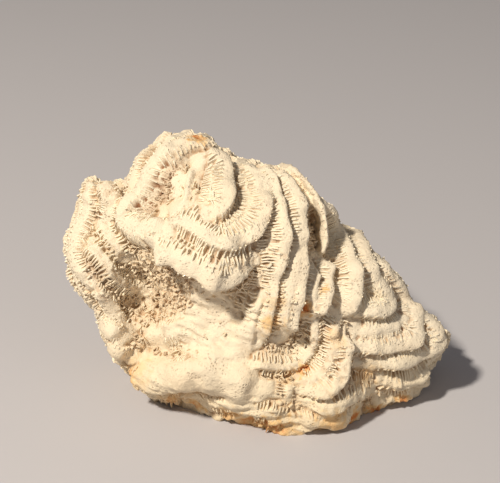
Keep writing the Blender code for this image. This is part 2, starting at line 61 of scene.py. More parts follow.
# The lump is drawn as seen from in front and a little above: across and up on a plane that leans back,
# and towards the viewer from that plane. All of these are in millimetres.
LEAN = math.radians(28)
PLANE_HEIGHT = 28.7
VIEW_DISTANCE = 400.0
ACROSS = np.array((1.0, 0.0, 0.0))
UP = np.array((0.0, math.sin(LEAN), math.cos(LEAN)))
TOWARDS = np.array((0.0, -math.cos(LEAN), math.sin(LEAN)))
CENTRE = np.array((0.0, 0.0, PLANE_HEIGHT))
EYE = CENTRE + VIEW_DISTANCE * TOWARDS

FRONT_DEPTH = 20.0
BACK_DEPTH = 31.0
RIDGE_ROOM = 1.2
BACK_LUMPS = 2.5
BACK_LUMP_SIZE = 22.0

# The lump's outline, (across, up), clockwise from the ear at its upper left.
OUTLINE = (
    (-42.8, 29.5), (-39.3, 27.6), (-35.8, 26.8), (-32.3, 29.6), (-30.3, 33.8), (-26.8, 37.5),
    (-23.0, 39.8), (-18.8, 40.3), (-13.8, 40.5), (-11.3, 38.8), (-10.3, 36.3), (-6.8, 35.8),
    (-4.8, 33.8), (-1.8, 33.3), (2.5, 32.3), (7.0, 31.5), (11.3, 29.5), (14.8, 26.0),
    (16.3, 23.0), (20.0, 20.5), (23.8, 16.3), (28.8, 12.3), (30.8, 9.3), (34.3, 7.0),
    (37.2, 2.9), (39.2, -2.2), (43.8, -5.6), (47.0, -8.4), (49.8, -12.8), (48.3, -15.8),
    (44.8, -19.0), (44.8, -22.5), (41.3, -26.3), (37.0, -28.8), (31.3, -31.0), (25.8, -33.5),
    (18.8, -36.0), (10.5, -37.5), (3.8, -36.0), (-2.5, -33.0), (-11.3, -31.0), (-17.5, -28.8),
    (-26.3, -26.8), (-29.8, -24.5), (-31.8, -21.0), (-34.3, -20.0), (-36.8, -17.5), (-37.8, -14.0),
    (-40.0, -10.8), (-39.8, -7.5), (-42.3, -3.8), (-45.8, 0.0), (-48.3, 5.0), (-49.3, 10.5),
    (-47.3, 16.3), (-45.5, 21.3), (-45.3, 26.0),
)

# Swells and hollows of the face, (across, up, towards): the lump without its ridges passes through each.
SWELLS = (
    # left fin, and the deep hollow beside it
    (-40.0, 20.0, 5.0), (-42.0, 8.0, 9.0), (-38.0, -2.0, 8.0), (-36.0, -12.0, 6.0), (-30.0, 18.0, 10.0),
    (-29.0, 3.0, 1.0), (-27.0, -4.0, -2.0), (-25.0, -10.0, 3.0), (-21.0, -16.5, 6.0), (-27.5, -15.5, 1.0),
    # arch, inner lobe and the great lobe that overhangs the wall
    (-20.0, 33.0, 10.0), (-24.0, 24.0, 12.0), (-12.0, 26.0, 17.0), (-4.0, 22.0, 18.0), (-15.0, 14.0, 21.0),
    (-24.0, 9.0, 18.0), (-12.0, 5.5, 23.0), (0.0, 7.0, 20.0),
    # wall below the lobe, and the band below the wall
    (-16.0, -3.0, 12.0), (-7.0, -5.0, 12.5), (-8.0, -12.0, 13.0), (-8.0, -18.0, 13.5), (-20.0, -21.0, 11.0),
    (-5.0, -27.0, 12.5), (-18.0, -26.0, 8.0), (5.0, -25.0, 13.0), (10.0, -33.0, 10.0),
    # upright ridges of the middle, and the gap behind the free one
    (4.0, 25.0, 12.0), (8.0, 12.0, 17.0), (5.0, -3.0, 17.0), (13.5, 14.0, 12.5), (12.0, -7.0, 15.0),
    (12.0, -14.0, 9.0), (2.0, -16.0, 12.0), (19.3, 14.5, -2.0), (17.8, 19.5, -1.0), (20.0, 1.0, 10.0),
    (25.0, 5.0, 9.0),
    # terraces of the right-hand corner
    (30.0, 0.0, 6.8), (38.0, -5.0, 2.0), (25.0, -10.0, 9.0), (38.0, -13.0, 4.0), (22.0, -17.0, 11.0),
    (33.0, -22.0, 2.0), (18.0, -24.0, 12.0), (25.0, -30.0, 5.0),
    # rim
    (-47.0, 8.0, 3.0), (-43.0, 28.0, 0.0), (-39.0, -10.0, 1.0), (-30.0, -24.0, 0.0), (-17.5, -28.5, -1.0),
    (10.0, -37.0, 7.0), (37.0, -28.5, -7.0), (45.0, -22.0, -8.0), (49.0, -12.8, -6.0), (30.5, 10.0, -5.0),
    (15.5, 25.0, -5.0), (-14.0, 40.0, -5.0), (-32.0, 30.0, -2.0),
)

# Ridges laid on the face: half width, height, the crest's lean to the right and upwards as a share
# of its height, whether it runs on over the edge from its first point, and the crest's route as (across, up).
RIDGES = {
    "arch": (3.5, 4.0, (0, 0), True, (
        (-13, 38.5), (-18, 37.3), (-23, 35.3), (-27, 32), (-28.5, 27.5), (-30.5, 24), (-33, 20.5),
        (-33.5, 17.5), (-31, 15.5), (-27.5, 15.8), (-24, 17),
    )),
    "inner_lobe": (3.0, 3.4, (0.35, -0.1), True, (
        (-8, 34.5), (-6, 32), (-5.2, 28), (-5.6, 24), (-7.5, 21), (-11, 20),
    )),
    "inner_line": (0.8, 1.1, (0, 0), False, (
        (-14.5, 33), (-17, 28), (-17.5, 24), (-19.5, 21.5), (-21.5, 19.5),
    )),
    "loop": (2.9, 3.8, (0.25, -0.35), True, (
        (-0.5, 31.5), (1.8, 28.5), (3.2, 24.5), (3.2, 20), (2, 15.5), (-0.8, 12.5), (-5.5, 11.3),
        (-10.5, 12.5), (-14.5, 15), (-19, 17), (-24, 17),
    )),
    "lip": (3.2, 3.6, (0.1, -0.8), False, (
        (-27, 8.8), (-22, 7), (-17.5, 4), (-12, 1.6), (-7.6, 0.4), (-3.5, 2.4), (1, 4.2),
    )),
    "upright_1": (1.8, 3.3, (0.45, 0), True, (
        (3.3, 31), (6, 27), (7.8, 22.5), (8.8, 17.5), (8.8, 12.5), (8, 8), (6.5, 3), (5, -2), (4, -6.3),
        (3.3, -10.5), (2.8, -14),
    )),
    "upright_2": (1.5, 2.8, (0.4, 0), False, (
        (2, -2), (0.3, -5), (-0.5, -8.5), (-0.5, -12), (0, -15),
    )),
    "upright_3": (1.4, 2.4, (0.4, 0), False, (
        (10.7, 10), (10.3, 5.5), (9.3, 0.5), (8.3, -3.8), (7.8, -7.5), (7.3, -12),
    )),
    "upright_4": (1.8, 3.4, (0.45, 0), True, (
        (7.5, 30.8), (10.5, 26.5), (12.8, 21.5), (13.8, 16.3), (13.8, 11.3), (13.3, 6.3), (12.8, 1.3),
        (12, -3.8), (10.8, -8), (9.8, -12.5),
    )),
    "short_1": (1.4, 2.4, (0.4, 0), False, (
        (16.8, 6.5), (16.3, 2.5), (15.8, -1.5), (15.3, -4.5),
    )),
    "short_2": (1.6, 3.2, (0.4, 0), False, (
        (19.8, 9), (20.5, 6.5), (20, 2.5), (19, -1.5), (18, -5), (16.8, -8),
    )),
    "shoulder": (2.6, 3.9, (0.3, -0.1), True, (
        (18, 21.8), (21, 18.5), (23.2, 14.5), (24.8, 9.5), (25.9, 4.5), (26, -0.3), (25.3, -3.8),
        (23.2, -6.3),
    )),
    "terrace_1": (2.6, 2.7, (0.4, -0.3), True, (
        (26, 15.5), (28.2, 11.5), (30.2, 7), (32.6, 2.2), (34.8, -1.2), (35.6, -3.6), (33.3, -5.2),
        (29.3, -5.3), (25.8, -5.8),
    )),
    "terrace_2": (1.7, 1.5, (0.2, -0.4), False, (
        (38, -6.8), (36.5, -8.8), (33.8, -10.2), (30.5, -10.7), (27.5, -11.2),
    )),
    "terrace_3": (2.4, 2.7, (0.4, -0.4), True, (
        (31.8, 9.3), (35.2, 4.8), (38.2, 0.3), (40.6, -3.8), (42.2, -7.6), (42.6, -11), (41.5, -13.2),
        (38.8, -14.5), (35.3, -15.2), (31.5, -15.4), (27.9, -15),
    )),
    "terrace_4": (2.3, 3.2, (0.4, -0.3), False, (
        (39.3, -1.2), (42.3, -4.3), (45.3, -7.2), (47.4, -10.4), (48.2, -12.8), (46.8, -15.5), (43.3, -17.8),
        (38.2, -19), (32.8, -20.2),
    )),
    "under_1": (2.0, 2.8, (0.2, -0.3), True, (
        (44.3, -21.5), (42.3, -23.5), (39.3, -24.5), (36.3, -25), (33.3, -24.5),
    )),
    "under_2": (1.8, 2.5, (0.2, -0.3), True, (
        (39.5, -26.8), (36.8, -27.8), (33.8, -28.5),
    )),
    "buttress": (1.8, 3.3, (0.5, -0.3), False, (
        (24.3, -11.5), (24.5, -15.5), (24, -19.5), (22.8, -23.3), (20, -25.5), (16.3, -26.5),
        (12.8, -26),
    )),
    "foot_1": (2.2, 3.0, (0, -0.3), False, (
        (30.8, -27), (27.8, -27.8), (24.3, -28.5), (21.3, -29.8), (19, -31), (14, -30),
    )),
    "foot_2": (2.1, 2.8, (0, -0.2), False, (
        (11.3, -35), (16.3, -34), (22.5, -33), (26.8, -31.5),
    )),
    "foot_3": (2.8, 1.5, (0, 0), False, (
        (-14, -29.5), (-6, -30), (1.3, -31.5), (7.5, -33),
    )),
    "rough_1": (1.6, 2.4, (0.2, -0.2), False, (
        (22, -8), (20.3, -11.3), (19.5, -15), (17.8, -19), (15, -21.8), (12, -22.5),
    )),
    "rough_2": (1.6, 2.2, (0.1, -0.3), False, (
        (15.8, -10), (14.8, -13.8), (12.8, -17), (10.5, -18.7), (7, -19.3), (3.3, -19), (-1.3, -18.7),
    )),
    "pillar": (1.3, 3.0, (0, 0), False, (
        (9.3, -23.8), (9, -27.5),
    )),
    "band": (5.0, 2.4, (0, 0), True, (
        (-30, -22.3), (-24, -22), (-16, -22.3), (-8, -23.8), (0, -26),
    )),
    "fin_edge": (2.5, 2.1, (0, 0), False, (
        (-43.3, 27), (-43.2, 23.5), (-43.5, 19.5), (-45.5, 15), (-46.5, 10.5), (-46, 6), (-43.5, 1.5),
    )),
    "saddle": (2.8, 2.8, (0, 0), True, (
        (-36.6, 26.6), (-36.4, 23.5), (-37, 20), (-38.5, 17),
    )),
    "fin_1": (2.2, 2.1, (0, 0), False, (
        (-38.5, 17), (-36.5, 14), (-35, 11), (-33, 7),
    )),
    "fin_2": (2.0, 1.9, (0, 0), False, (
        (-42, 12.5), (-39, 9.5), (-36.5, 6.5), (-34.5, 3.5), (-31, 0.8), (-28, -1.5),
    )),
    "fin_3": (2.3, 2.1, (0, 0), False, (
        (-41, -0.5), (-37.5, -3.5), (-34, -6), (-31, -8),
    )),
    "knob_1": (3.0, 1.9, (0, 0), True, (
        (-39, -8.8), (-36, -10.5), (-33, -12),
    )),
    "knob_2": (3.0, 1.9, (0, 0), True, (
        (-36.5, -15.5), (-33.8, -17), (-31, -18),
    )),
    "hollow_bump": (3.2, 2.4, (0, 0), False, (
        (-25, -11.5), (-21, -10), (-17, -9.8),
    )),
}

# The thin fin that stands free beside the middle: its crest as (across, up, towards), the way from there to
# its root, and its section as (share of that way, half thickness).
FIN_CREST = (
    (8.5, 31.0, 1.0), (12.0, 28.3, 5.0), (14.8, 25.0, 8.5), (16.7, 21.0, 10.5), (17.9, 16.5, 11.5),
    (18.2, 12.5, 12.0), (17.0, 9.3, 11.5),
)
FIN_WAY = (-3.5, 0.0, -12.0)
FIN_SECTION = ((1.0, 1.9), (0.5, 1.2), (0.12, 0.75), (0.02, 0.45))
FIN_WAVE = 0.5
FIN_WAVE_LENGTH = 2.2

# Ridges that fill the sides and the back.
RIDGE_SPACING = 5.6
LEAST_SPACING = 0.72
FILL_HALF_WIDTH = 1.9
FILL_HEIGHT = 3.5
FILL_STEP = 0.7
FILL_LONGEST = 75.0
FILL_SHORTEST = 7.0
FILL_BELOW = 0.12
RIM_SHARE = 0.4
RIM_SLOPE = 1.2
TURN_SIZE = 13.0
TURN_MOST = 2.8
TURN_AT_RIM = 0.25

VALLEY_SINK = 1.0
SKEW = 0.5
PLATE_REACH = 1.7
PLATE_BULGE = 1.35
FULL_SKEW_LEAN = 0.4
TAPER_START = 0.3
TAPER_LENGTH = 4.0
BASE_CUT = 0.0
FOOT_FROM = 8.0
FOOT_DROP = 6.0
FOOT_WEAR = 0.2
SPHERE_LEVELS = 7
BASE_VOXEL = 0.9
BASE_SMOOTHING = 8


def on_plane(points):
    """Points given as (across, up, towards), moved to where they look the same from the eye."""
    points = np.asarray(points, float)
    shrink = 1 - points[..., 2:3] / VIEW_DISTANCE
    return (
        CENTRE
        + shrink * (points[..., 0:1] * ACROSS + points[..., 1:2] * UP)
        + points[..., 2:3] * TOWARDS
    )


def outline_radius(angles):
    """How far the outline is from the centre of the plane, at each angle."""
    corners = np.array(OUTLINE)
    corner_angles = np.arctan2(corners[:, 1], corners[:, 0])
    order = np.argsort(corner_angles)
    radii = np.hypot(corners[:, 0], corners[:, 1])
    return np.interp(angles, corner_angles[order], radii[order], period=2 * math.pi)


def bend_energy(distance):
    """The kernel of a thin plate."""
    return np.where(distance > 0, distance**2 * np.log(np.maximum(distance, 1e-9)), 0.0)


def swell_function():
    """A thin plate bent through every swell, as the amount to add to the dome."""
    marks = np.array(SWELLS)
    flat = marks[:, :2]
    reach = np.hypot(flat[:, 0], flat[:, 1])
    share = np.clip(reach / outline_radius(np.arctan2(flat[:, 1], flat[:, 0])), 0, 1)
    extra = marks[:, 2] - FRONT_DEPTH * np.sqrt(1 - share**2)
    gaps = np.linalg.norm(flat[:, None] - flat[None], axis=2)
    edge = np.hstack([np.ones((len(flat), 1)), flat])
    count = len(flat)
    system = np.zeros((count + 3, count + 3))
    system[:count, :count] = bend_energy(gaps)
    system[:count, count:] = edge
    system[count:, :count] = edge.T
    weights = np.linalg.solve(system, np.concatenate([extra, np.zeros(3)]))

    def swell(points):
        far = np.linalg.norm(points[:, None] - flat[None], axis=2)
        return bend_energy(far) @ weights[:count] + weights[count] + points @ weights[count + 1:]

    return swell


def base_points(directions):
    """The lump without ridges, for unit directions given as (across, up, towards)."""
    nose = directions[:, 2]
    angles = np.arctan2(directions[:, 1], directions[:, 0])
    radius = outline_radius(angles) - RIDGE_ROOM
    flat = directions[:, :2] * radius[:, None]
    swell = swell_function()(flat)
    keep = np.where(nose > 0, 1.0, np.clip(1 + nose, 0, 1) ** 1.5)
    towards = np.where(nose > 0, FRONT_DEPTH, BACK_DEPTH) * nose + swell * keep
    return on_plane(np.column_stack([flat, towards]))


def coordinates(mesh):
    points = np.empty(len(mesh.vertices) * 3)
    mesh.vertices.foreach_get("co", points)
    return points.reshape(-1, 3)


def normals_of(mesh):
    mesh.update()
    normals = np.empty(len(mesh.vertices) * 3)
    mesh.vertex_normals.foreach_get("vector", normals)
    return normals.reshape(-1, 3)


def set_coordinates(mesh, points):
    mesh.vertices.foreach_set("co", np.asarray(points, float).ravel())
    mesh.update()


def apply_modifier(piece, kind, **values):
    """Adds a modifier with these values and applies it."""
    modifier = piece.modifiers.new(kind.title(), kind)
    for name, value in values.items():
        setattr(modifier, name, value)
    with bpy.context.temp_override(object=piece, active_object=piece, selected_objects=[piece]):
        bpy.ops.object.modifier_apply(modifier=modifier.name)


def make_base():
    """The lump without its ridges, in millimetres."""
    bpy.ops.object.select_all(action="DESELECT")
    bpy.ops.mesh.primitive_ico_sphere_add(subdivisions=SPHERE_LEVELS, radius=1)
    lump = bpy.context.object
    lump.name = "brain_coral"
    set_coordinates(lump.data, base_points(coordinates(lump.data)))
    apply_modifier(lump, "REMESH", mode="VOXEL", voxel_size=BASE_VOXEL)
    apply_modifier(lump, "SMOOTH", factor=0.5, iterations=BASE_SMOOTHING)
    points = coordinates(lump.data)
    normals = normals_of(lump.data)
    behind = np.clip(-(normals @ TOWARDS), 0, 1)
    lumps = np.array([noise.noise(Vector(p / BACK_LUMP_SIZE)) for p in points])
    set_coordinates(lump.data, points + normals * (lumps * behind * 2 * BACK_LUMPS)[:, None])
    return lump


def curve_through(route, step):
    """Points a step apart on a smooth curve through the route's own points."""
    route = np.asarray(route, float)
    padded = np.vstack([2 * route[0] - route[1], route, 2 * route[-1] - route[-2]])
    found = []
    for a, b, c, d in zip(padded, padded[1:], padded[2:], padded[3:]):
        count = max(1, round(np.linalg.norm(c - b) / step))
        for t in np.arange(count) / count:
            square = 2 * a - 5 * b + 4 * c - d
            cube = 3 * b - a - 3 * c + d
            found.append(0.5 * (2 * b + (c - a) * t + square * t**2 + cube * t**3))
    found.append(route[-1])
    return np.array(found)


def sight(tree, spot):
    """Where the line of sight through a spot of the plane meets the lump, and the normal there."""
    far = Vector(on_plane((spot[0], spot[1], 0.0)))
    hit, normal, _, _ = tree.ray_cast(Vector(EYE), (far - Vector(EYE)).normalized())
    if hit is None:
        hit, normal, _, _ = tree.find_nearest(far)
    return np.array(hit), np.array(normal)


def lay_route(tree, route, height, lean):
    """The line on the lump from which a ridge rises, so that its crest is seen along the route."""
    laid = []
    for spot in curve_through(route, FILL_STEP):
        shift = height * np.array(lean)
        for _ in range(4):
            hit, normal = sight(tree, spot - shift)
            tilt = np.array((normal @ ACROSS, normal @ UP))
            shift = 0.5 * shift + 0.5 * height * (tilt + lean)
        laid.append(hit)
    laid = np.array(laid)
    for _ in range(3):
        laid[1:-1] = 0.25 * laid[:-2] + 0.5 * laid[1:-1] + 0.25 * laid[2:]
    return np.array([tree.find_nearest(Vector(place))[0] for place in laid])


class RidgeField:
    """The ridges already laid, with the direction that the next ones take beside them."""

    def __init__(self, tree):
        self.tree = tree
        self.lines = []
        self.points = np.zeros((0, 3))
        self.tangents = np.zeros((0, 3))

    def add(self, points, half_width, height, lean=(0, 0), tapers=(True, True)):
        self.lines.append((points, half_width, height * crest_shape(points, tapers), lean))
        self.points = np.vstack([self.points, points])
        self.tangents = np.vstack([self.tangents, np.gradient(points, axis=0)])

    def direction(self, place, normal, last):
        """The way a ridge runs here: along its neighbours, and turning slowly where it has none."""
        behind = float(np.clip(TURN_AT_RIM - 2.2 * (normal @ TOWARDS), TURN_AT_RIM, 1))
        turn = TURN_MOST * behind * noise.noise(Vector(place / TURN_SIZE))
        plain = np.cross(normal, ACROSS + 0.4 * TOWARDS)
        plain = plain * math.cos(turn) + np.cross(normal, plain) * math.sin(turn)
        near = np.linalg.norm(self.points - place, axis=1)
        close = near < 1.6 * RIDGE_SPACING
        tangents = self.tangents[close]
        tangents = tangents * np.sign(tangents @ last + 1e-12)[:, None]
        beside = (tangents * np.exp(-((near[close] / RIDGE_SPACING) ** 2))[:, None]).sum(axis=0)
        plain = plain / (np.linalg.norm(plain) + 1e-9)
        chosen = plain * np.sign(plain @ last + 1e-12) * 0.6 + beside * (1.1 - 0.6 * behind) + last * 1.2
        chosen = chosen - (chosen @ normal) * normal
        return chosen / (np.linalg.norm(chosen) + 1e-9)

    def grow(self, start, heading, others):
        """Points from start onwards, until the ridge meets another, the base or its longest length."""
        place, last, found = start, heading, []
        for _ in range(int(FILL_LONGEST / FILL_STEP)):
            hit, normal, _, _ = self.tree.find_nearest(Vector(place))
            last = self.direction(np.array(hit), np.array(normal), last)
            place = np.array(self.tree.find_nearest(Vector(np.array(hit) + last * FILL_STEP))[0])
            if place[2] < -2.0:
                break
            if len(others) and np.linalg.norm(others - place, axis=1).min() < LEAST_SPACING * RIDGE_SPACING:
                break
            own = np.array(found[: -int(RIDGE_SPACING / FILL_STEP)])
            if len(own) and np.linalg.norm(own - place, axis=1).min() < LEAST_SPACING * RIDGE_SPACING:
                break
            found.append(place)
        return found

    def behind_rim(self, points):
        """A share of a ridge's height that is small on the rim, so that it spoils no outline."""
        normals = np.array([self.tree.find_nearest(Vector(point))[1] for point in points])
        return np.clip(RIM_SHARE - RIM_SLOPE * normals @ TOWARDS, RIM_SHARE, 1)

    def fill(self):
        """Adds ridges one spacing away from those there are, until the sides and back are covered."""
        queue = list(range(len(self.points)))
        while queue:
            spot = queue.pop(0)
            origin, tangent = self.points[spot], self.tangents[spot]
            for side in (1, -1):
                normal = np.array(self.tree.find_nearest(Vector(origin))[1])
                across = np.cross(normal, tangent)
                across = across / (np.linalg.norm(across) + 1e-9)
                hit, facing, _, _ = self.tree.find_nearest(Vector(origin + side * across * RIDGE_SPACING))
                start = np.array(hit)
                hidden = np.array(facing) @ TOWARDS < FILL_BELOW
                if start[2] < 1.0 or not hidden:
                    continue
                if np.linalg.norm(self.points - start, axis=1).min() < 0.96 * RIDGE_SPACING:
                    continue
                heading = tangent / (np.linalg.norm(tangent) + 1e-9)
                ahead = self.grow(start, heading, self.points)
                back = self.grow(start, -heading, self.points)
                line = np.array(back[::-1] + [start] + ahead)
                if len(line) * FILL_STEP < FILL_SHORTEST:
                    continue
                first = len(self.points)
                self.add(line, FILL_HALF_WIDTH, FILL_HEIGHT * self.behind_rim(line))
                queue.extend(range(first, len(self.points), 4))


def lay_ridges(tree):
    """Every ridge of the lump: those of the face, run on over the edge, then those of the sides and back."""
    field = RidgeField(tree)
    laid = {}
    for name, (half_width, height, lean, runs_over, route) in RIDGES.items():
        laid[name] = lay_route(tree, route, height, lean)
        field.add(laid[name], half_width, height, lean, (not runs_over, True))
    for name, (half_width, height, _, runs_over, _) in RIDGES.items():
        if not runs_over:
            continue
        start, inward = laid[name][0], laid[name][0] - laid[name][3]
        heading = inward / np.linalg.norm(inward)
        near_own = np.linalg.norm(field.points - start, axis=1) < LEAST_SPACING * RIDGE_SPACING
        run = field.grow(start, heading, field.points[~near_own])
        if len(run) > 2:
            run = np.array(run)
            low = min(height, FILL_HEIGHT) * field.behind_rim(run)
            field.add(run, min(half_width, FILL_HALF_WIDTH + 0.5), low, tapers=(False, True))
    field.fill()
    return field.lines


def crest_shape(points, tapers):
    """A ridge's height along its crest, as a share: it waves a little, and sinks at its free ends."""
    run = np.arange(len(points)) * FILL_STEP
    shape = 1 + 0.12 * np.sin(run / 3.1 + points[0, 0]) + 0.08 * np.sin(run / 1.3)
    if tapers[0]:
        shape = shape * np.minimum(1, TAPER_START + run / TAPER_LENGTH)
    if tapers[1]:
        shape = shape * np.minimum(1, TAPER_START + run[::-1] / TAPER_LENGTH)
    return shape


def skew_of(lean):
    """How far a ridge is from even sides, from 0 to 1, for its lean."""
    return min(1.0, math.hypot(*lean) / FULL_SKEW_LEAN)


def side_of(offsets, lean):
    """How far to the steep side each offset from the crest points, from -1 to 1."""
    steep = lean[0] * ACROSS + lean[1] * UP
    return offsets @ steep / (np.linalg.norm(steep) * np.linalg.norm(offsets, axis=-1) + 0.05)


def side_width(half_width, lean, side):
    """The half width on one side: a leaning ridge is steep where it leans to, and long on the other side."""
    return half_width * (1 - SKEW * skew_of(lean) * side)


def profile(reach, lean, side):
    """A ridge's height at a reach from its crest, as a share: a plate bulges on its long side."""
    share = np.clip((reach - 0.35) / 1.15, 0, 1)
    round_part = 1 - share * share * (3 - 2 * share)
    plate_part = 1 - np.clip(reach / PLATE_REACH, 0, 1) ** PLATE_BULGE
    plate = skew_of(lean) * np.clip(0.5 - 0.8 * side, 0, 1)
    return round_part * (1 - plate) + plate_part * plate


def ridge_lift(points, lines):
    """How far the ridges lift each point, how much they lean there, and its share of a ridge's height."""
    total = np.zeros(len(points))
    leans = np.zeros((len(points), 2))
    shares = np.zeros(len(points))
    for line, half_width, crest, lean in lines:
        reach = 2.6 * half_width + 1.0
        low, high = line.min(axis=0) - reach, line.max(axis=0) + reach
        near = np.flatnonzero(((points > low) & (points < high)).all(axis=1))
        if not len(near):
            continue
        close = points[near]
        squares = (close**2).sum(axis=1)[:, None] + (line**2).sum(axis=1) - 2 * close @ line.T
        along = squares.argmin(axis=1)
        offsets = close - line[along]
        side = side_of(offsets, lean)
        width = side_width(half_width, lean, side)
        share = profile(np.linalg.norm(offsets, axis=1) / width, lean, side)
        lift = crest[along] * share
        shares[near] = np.maximum(shares[near], share)
        total[near] += lift**4
        leans[near] += (lift**4)[:, None] * lean
    worn = FOOT_WEAR + (1 - FOOT_WEAR) * np.clip(points[:, 2] / FOOT_FROM, 0, 1)
    return worn * total**0.25, leans / np.maximum(total, 1e-9)[:, None], shares


def make_fin():
    """The thin free fin, as a closed shape whose root is inside the lump."""
    crest = curve_through(FIN_CREST, FILL_STEP)
    run = np.arange(len(crest)) * FILL_STEP
    crest[:, 2] += FIN_WAVE * np.sin(run * 2 * math.pi / FIN_WAVE_LENGTH) * np.sin(run / 3.0)
    tops = on_plane(crest)
    roots = on_plane(crest + FIN_WAY)
    sideways = np.cross(np.gradient(tops, axis=0), roots - tops)
    sideways = sideways / np.linalg.norm(sideways, axis=1)[:, None]
    section = FIN_SECTION + ((0.0, 0.0),) + tuple((share, -half) for share, half in reversed(FIN_SECTION))
    rings = [tops + share * (roots - tops) + half * sideways for share, half in section]
    points = np.stack(rings, axis=1).reshape(-1, 3)
    count = len(section)
    faces = [tuple(range(count)), tuple(range(len(points) - count, len(points)))]
    for first in range(0, len(points) - count, count):
        for corner in range(count):
            here, beside = first + corner, first + (corner + 1) % count
            faces.append((here, beside, beside + count, here + count))
    mesh = bpy.data.meshes.new("fin")
    mesh.from_pydata(points.tolist(), [], faces)
    return mesh


def join_fin(lump, fin):
    """Adds the fin's mesh to the lump's."""
    shape = bmesh.new()
    shape.from_mesh(fin)
    bmesh.ops.recalc_face_normals(shape, faces=shape.faces[:])
    shape.from_mesh(lump.data)
    shape.to_mesh(lump.data)
    shape.free()


def drop_crumbs(shape):
    """Keeps only the largest of the shape's separate shells."""
    shells, left = [], set(shape.verts)
    while left:
        shell, edge = set(), [left.pop()]
        while edge:
            corner = edge.pop()
            shell.add(corner)
            found = {e.other_vert(corner) for e in corner.link_edges} & left
            left -= found
            edge.extend(found)
        shells.append(shell)
    shells.sort(key=len)
    for shell in shells[:-1]:
        bmesh.ops.delete(shape, geom=list(shell), context="VERTS")


def cut_base(lump):
    """Cuts the lump off flat at the height of its base, and closes the cut."""
    shape = bmesh.new()
    shape.from_mesh(lump.data)
    everything = shape.verts[:] + shape.edges[:] + shape.faces[:]
    cut = bmesh.ops.bisect_plane(
        shape, geom=everything, dist=1e-6, plane_co=(0, 0, BASE_CUT), plane_no=(0, 0, 1), clear_inner=True
    )
    rim = [edge for edge in cut["geom_cut"] if isinstance(edge, bmesh.types.BMEdge)]
    bmesh.ops.holes_fill(shape, edges=rim, sides=0)
    bmesh.ops.triangulate(shape, faces=shape.faces[:])
    drop_crumbs(shape)
    shape.to_mesh(lump.data)
    shape.free()


SKIN_VOXEL = 0.34
SKIN_FACES = 196000

# Fine lumps of the skin: size and height, in millimetres.
LUMPS = ((5.0, 0.35), (1.9, 0.22), (0.9, 0.13))

# The crumbly net of thin walls on the valley floors: the size of its cells, its height, the depth in a valley
# that it starts from, and how its walls, its fine grains and its cells are told apart in the noise.
CRUMB_SIZE = 1.5
CRUMB_HEIGHT = 0.6
CRUMB_FROM = 0.7
CRUMB_WALL = 2.2
CRUMB_FINE = 0.5
CRUMB_SHIFT = 40.0
CRUMB_LEVEL = 0.3
CRUMB_CELL = 0.6

# How a smooth or crumbly place fades: it is whole up to 0.75 of its radius, and gone at 1.4 of it.
SPOT_FULL = 2.2
SPOT_FADE = 1.6

# How much of its crumbs and of its valley colour a smooth place loses.
SMOOTH_LOSS = 0.85

# Places that are worn smooth, as (across, up, radius).
SMOOTH = (
    (-12.0, -10.0, 8.0), (-7.0, -16.0, 6.0), (-24.0, -21.5, 6.0), (-14.0, -21.5, 7.0), (-4.0, -23.0, 6.0),
    (-18.0, 8.0, 6.0), (-30.0, -22.0, 5.0), (-38.0, -9.0, 4.0), (-36.0, -16.0, 4.0), (30.0, -18.0, 6.0),
    (-12.0, -3.0, 5.0), (36.0, -7.0, 7.0), (40.0, -15.0, 6.0), (28.0, 1.0, 5.0), (24.0, 13.0, 5.0),
    (-19.0, 27.0, 3.5), (-3.0, -14.0, 4.0), (-32.0, 19.0, 4.0),
)

# Places that are crumbly all over, not only in the valleys, as (across, up, radius).
ROUGH = (
    (17.0, -12.0, 6.0), (12.0, -18.0, 6.0), (18.0, -21.0, 5.0), (26.0, -23.0, 4.0), (33.0, -26.0, 5.0),
    (-33.0, 6.0, 6.0), (-31.0, -3.0, 6.0), (-38.0, 2.0, 5.0), (-38.0, 12.0, 5.0), (4.0, 31.0, 5.0),
    (10.0, 28.0, 5.0), (31.0, 5.0, 4.0), (-3.0, 10.0, 4.0), (-36.0, 24.0, 5.0), (2.0, 8.0, 4.0),
)
ROUGH_SHARE = 0.55

# Fine lines: the place and radius where they show, their slope, and their spacing, length and height.
LINES_PLACE = (-10.0, -10.0, 12.0)
LINES_SLOPE = math.radians(-18)
LINES_SPACING = 1.15
LINES_LENGTH = 3.5
LINES_HEIGHT = 0.6

# The thin worn layers of the foot: the height that they fade over, their thickness, length and relief.
LAYERS_BELOW = 11.0
LAYERS_START = 1.3
LAYERS_SPACING = 1.1
LAYERS_LENGTH = 6.0
LAYERS_HEIGHT = 0.85
LAYERS_GAIN = 1.6
LAYERS_FLAT = 0.7

# The fine ribs that run down both sides of a ridge: their spacing along it, and how far down they reach.
RIB_GAP = 0.74
RIB_GAP_MORE = 0.5
RIB_VARIES = (0.75, 1.25)
RIB_STEP = 0.25
RIB_REACH = 1.9
RIB_REACH_MORE = 0.8
RIB_SHORTEST = 0.8
RIB_MISSING = 0.06
SHORTEST_RIDGE = 4
SAME_RIDGE_ROOM = 3.0
EVEN_REACH = 0.5
PLATE_MORE = 0.22

# Where a rib starts beside the crest, as shares of the ridge's half width.
MAJOR_START = 0.25
MINOR_START = 0.42
PLATE_START = 0.08

# Strong and weak patches of ribs: their size, how much they differ, and the least and most strength.
RIB_TONE = 8.0
RIB_PATCHES = 1.3
RIB_WEAKEST = 0.3
RIB_STRONGEST = 1.2

# A long rib is broken into a row of short ones.
ROW_LENGTH = 2.2
ROW_BREAK = 0.35
ROW_SHIFT = 0.9

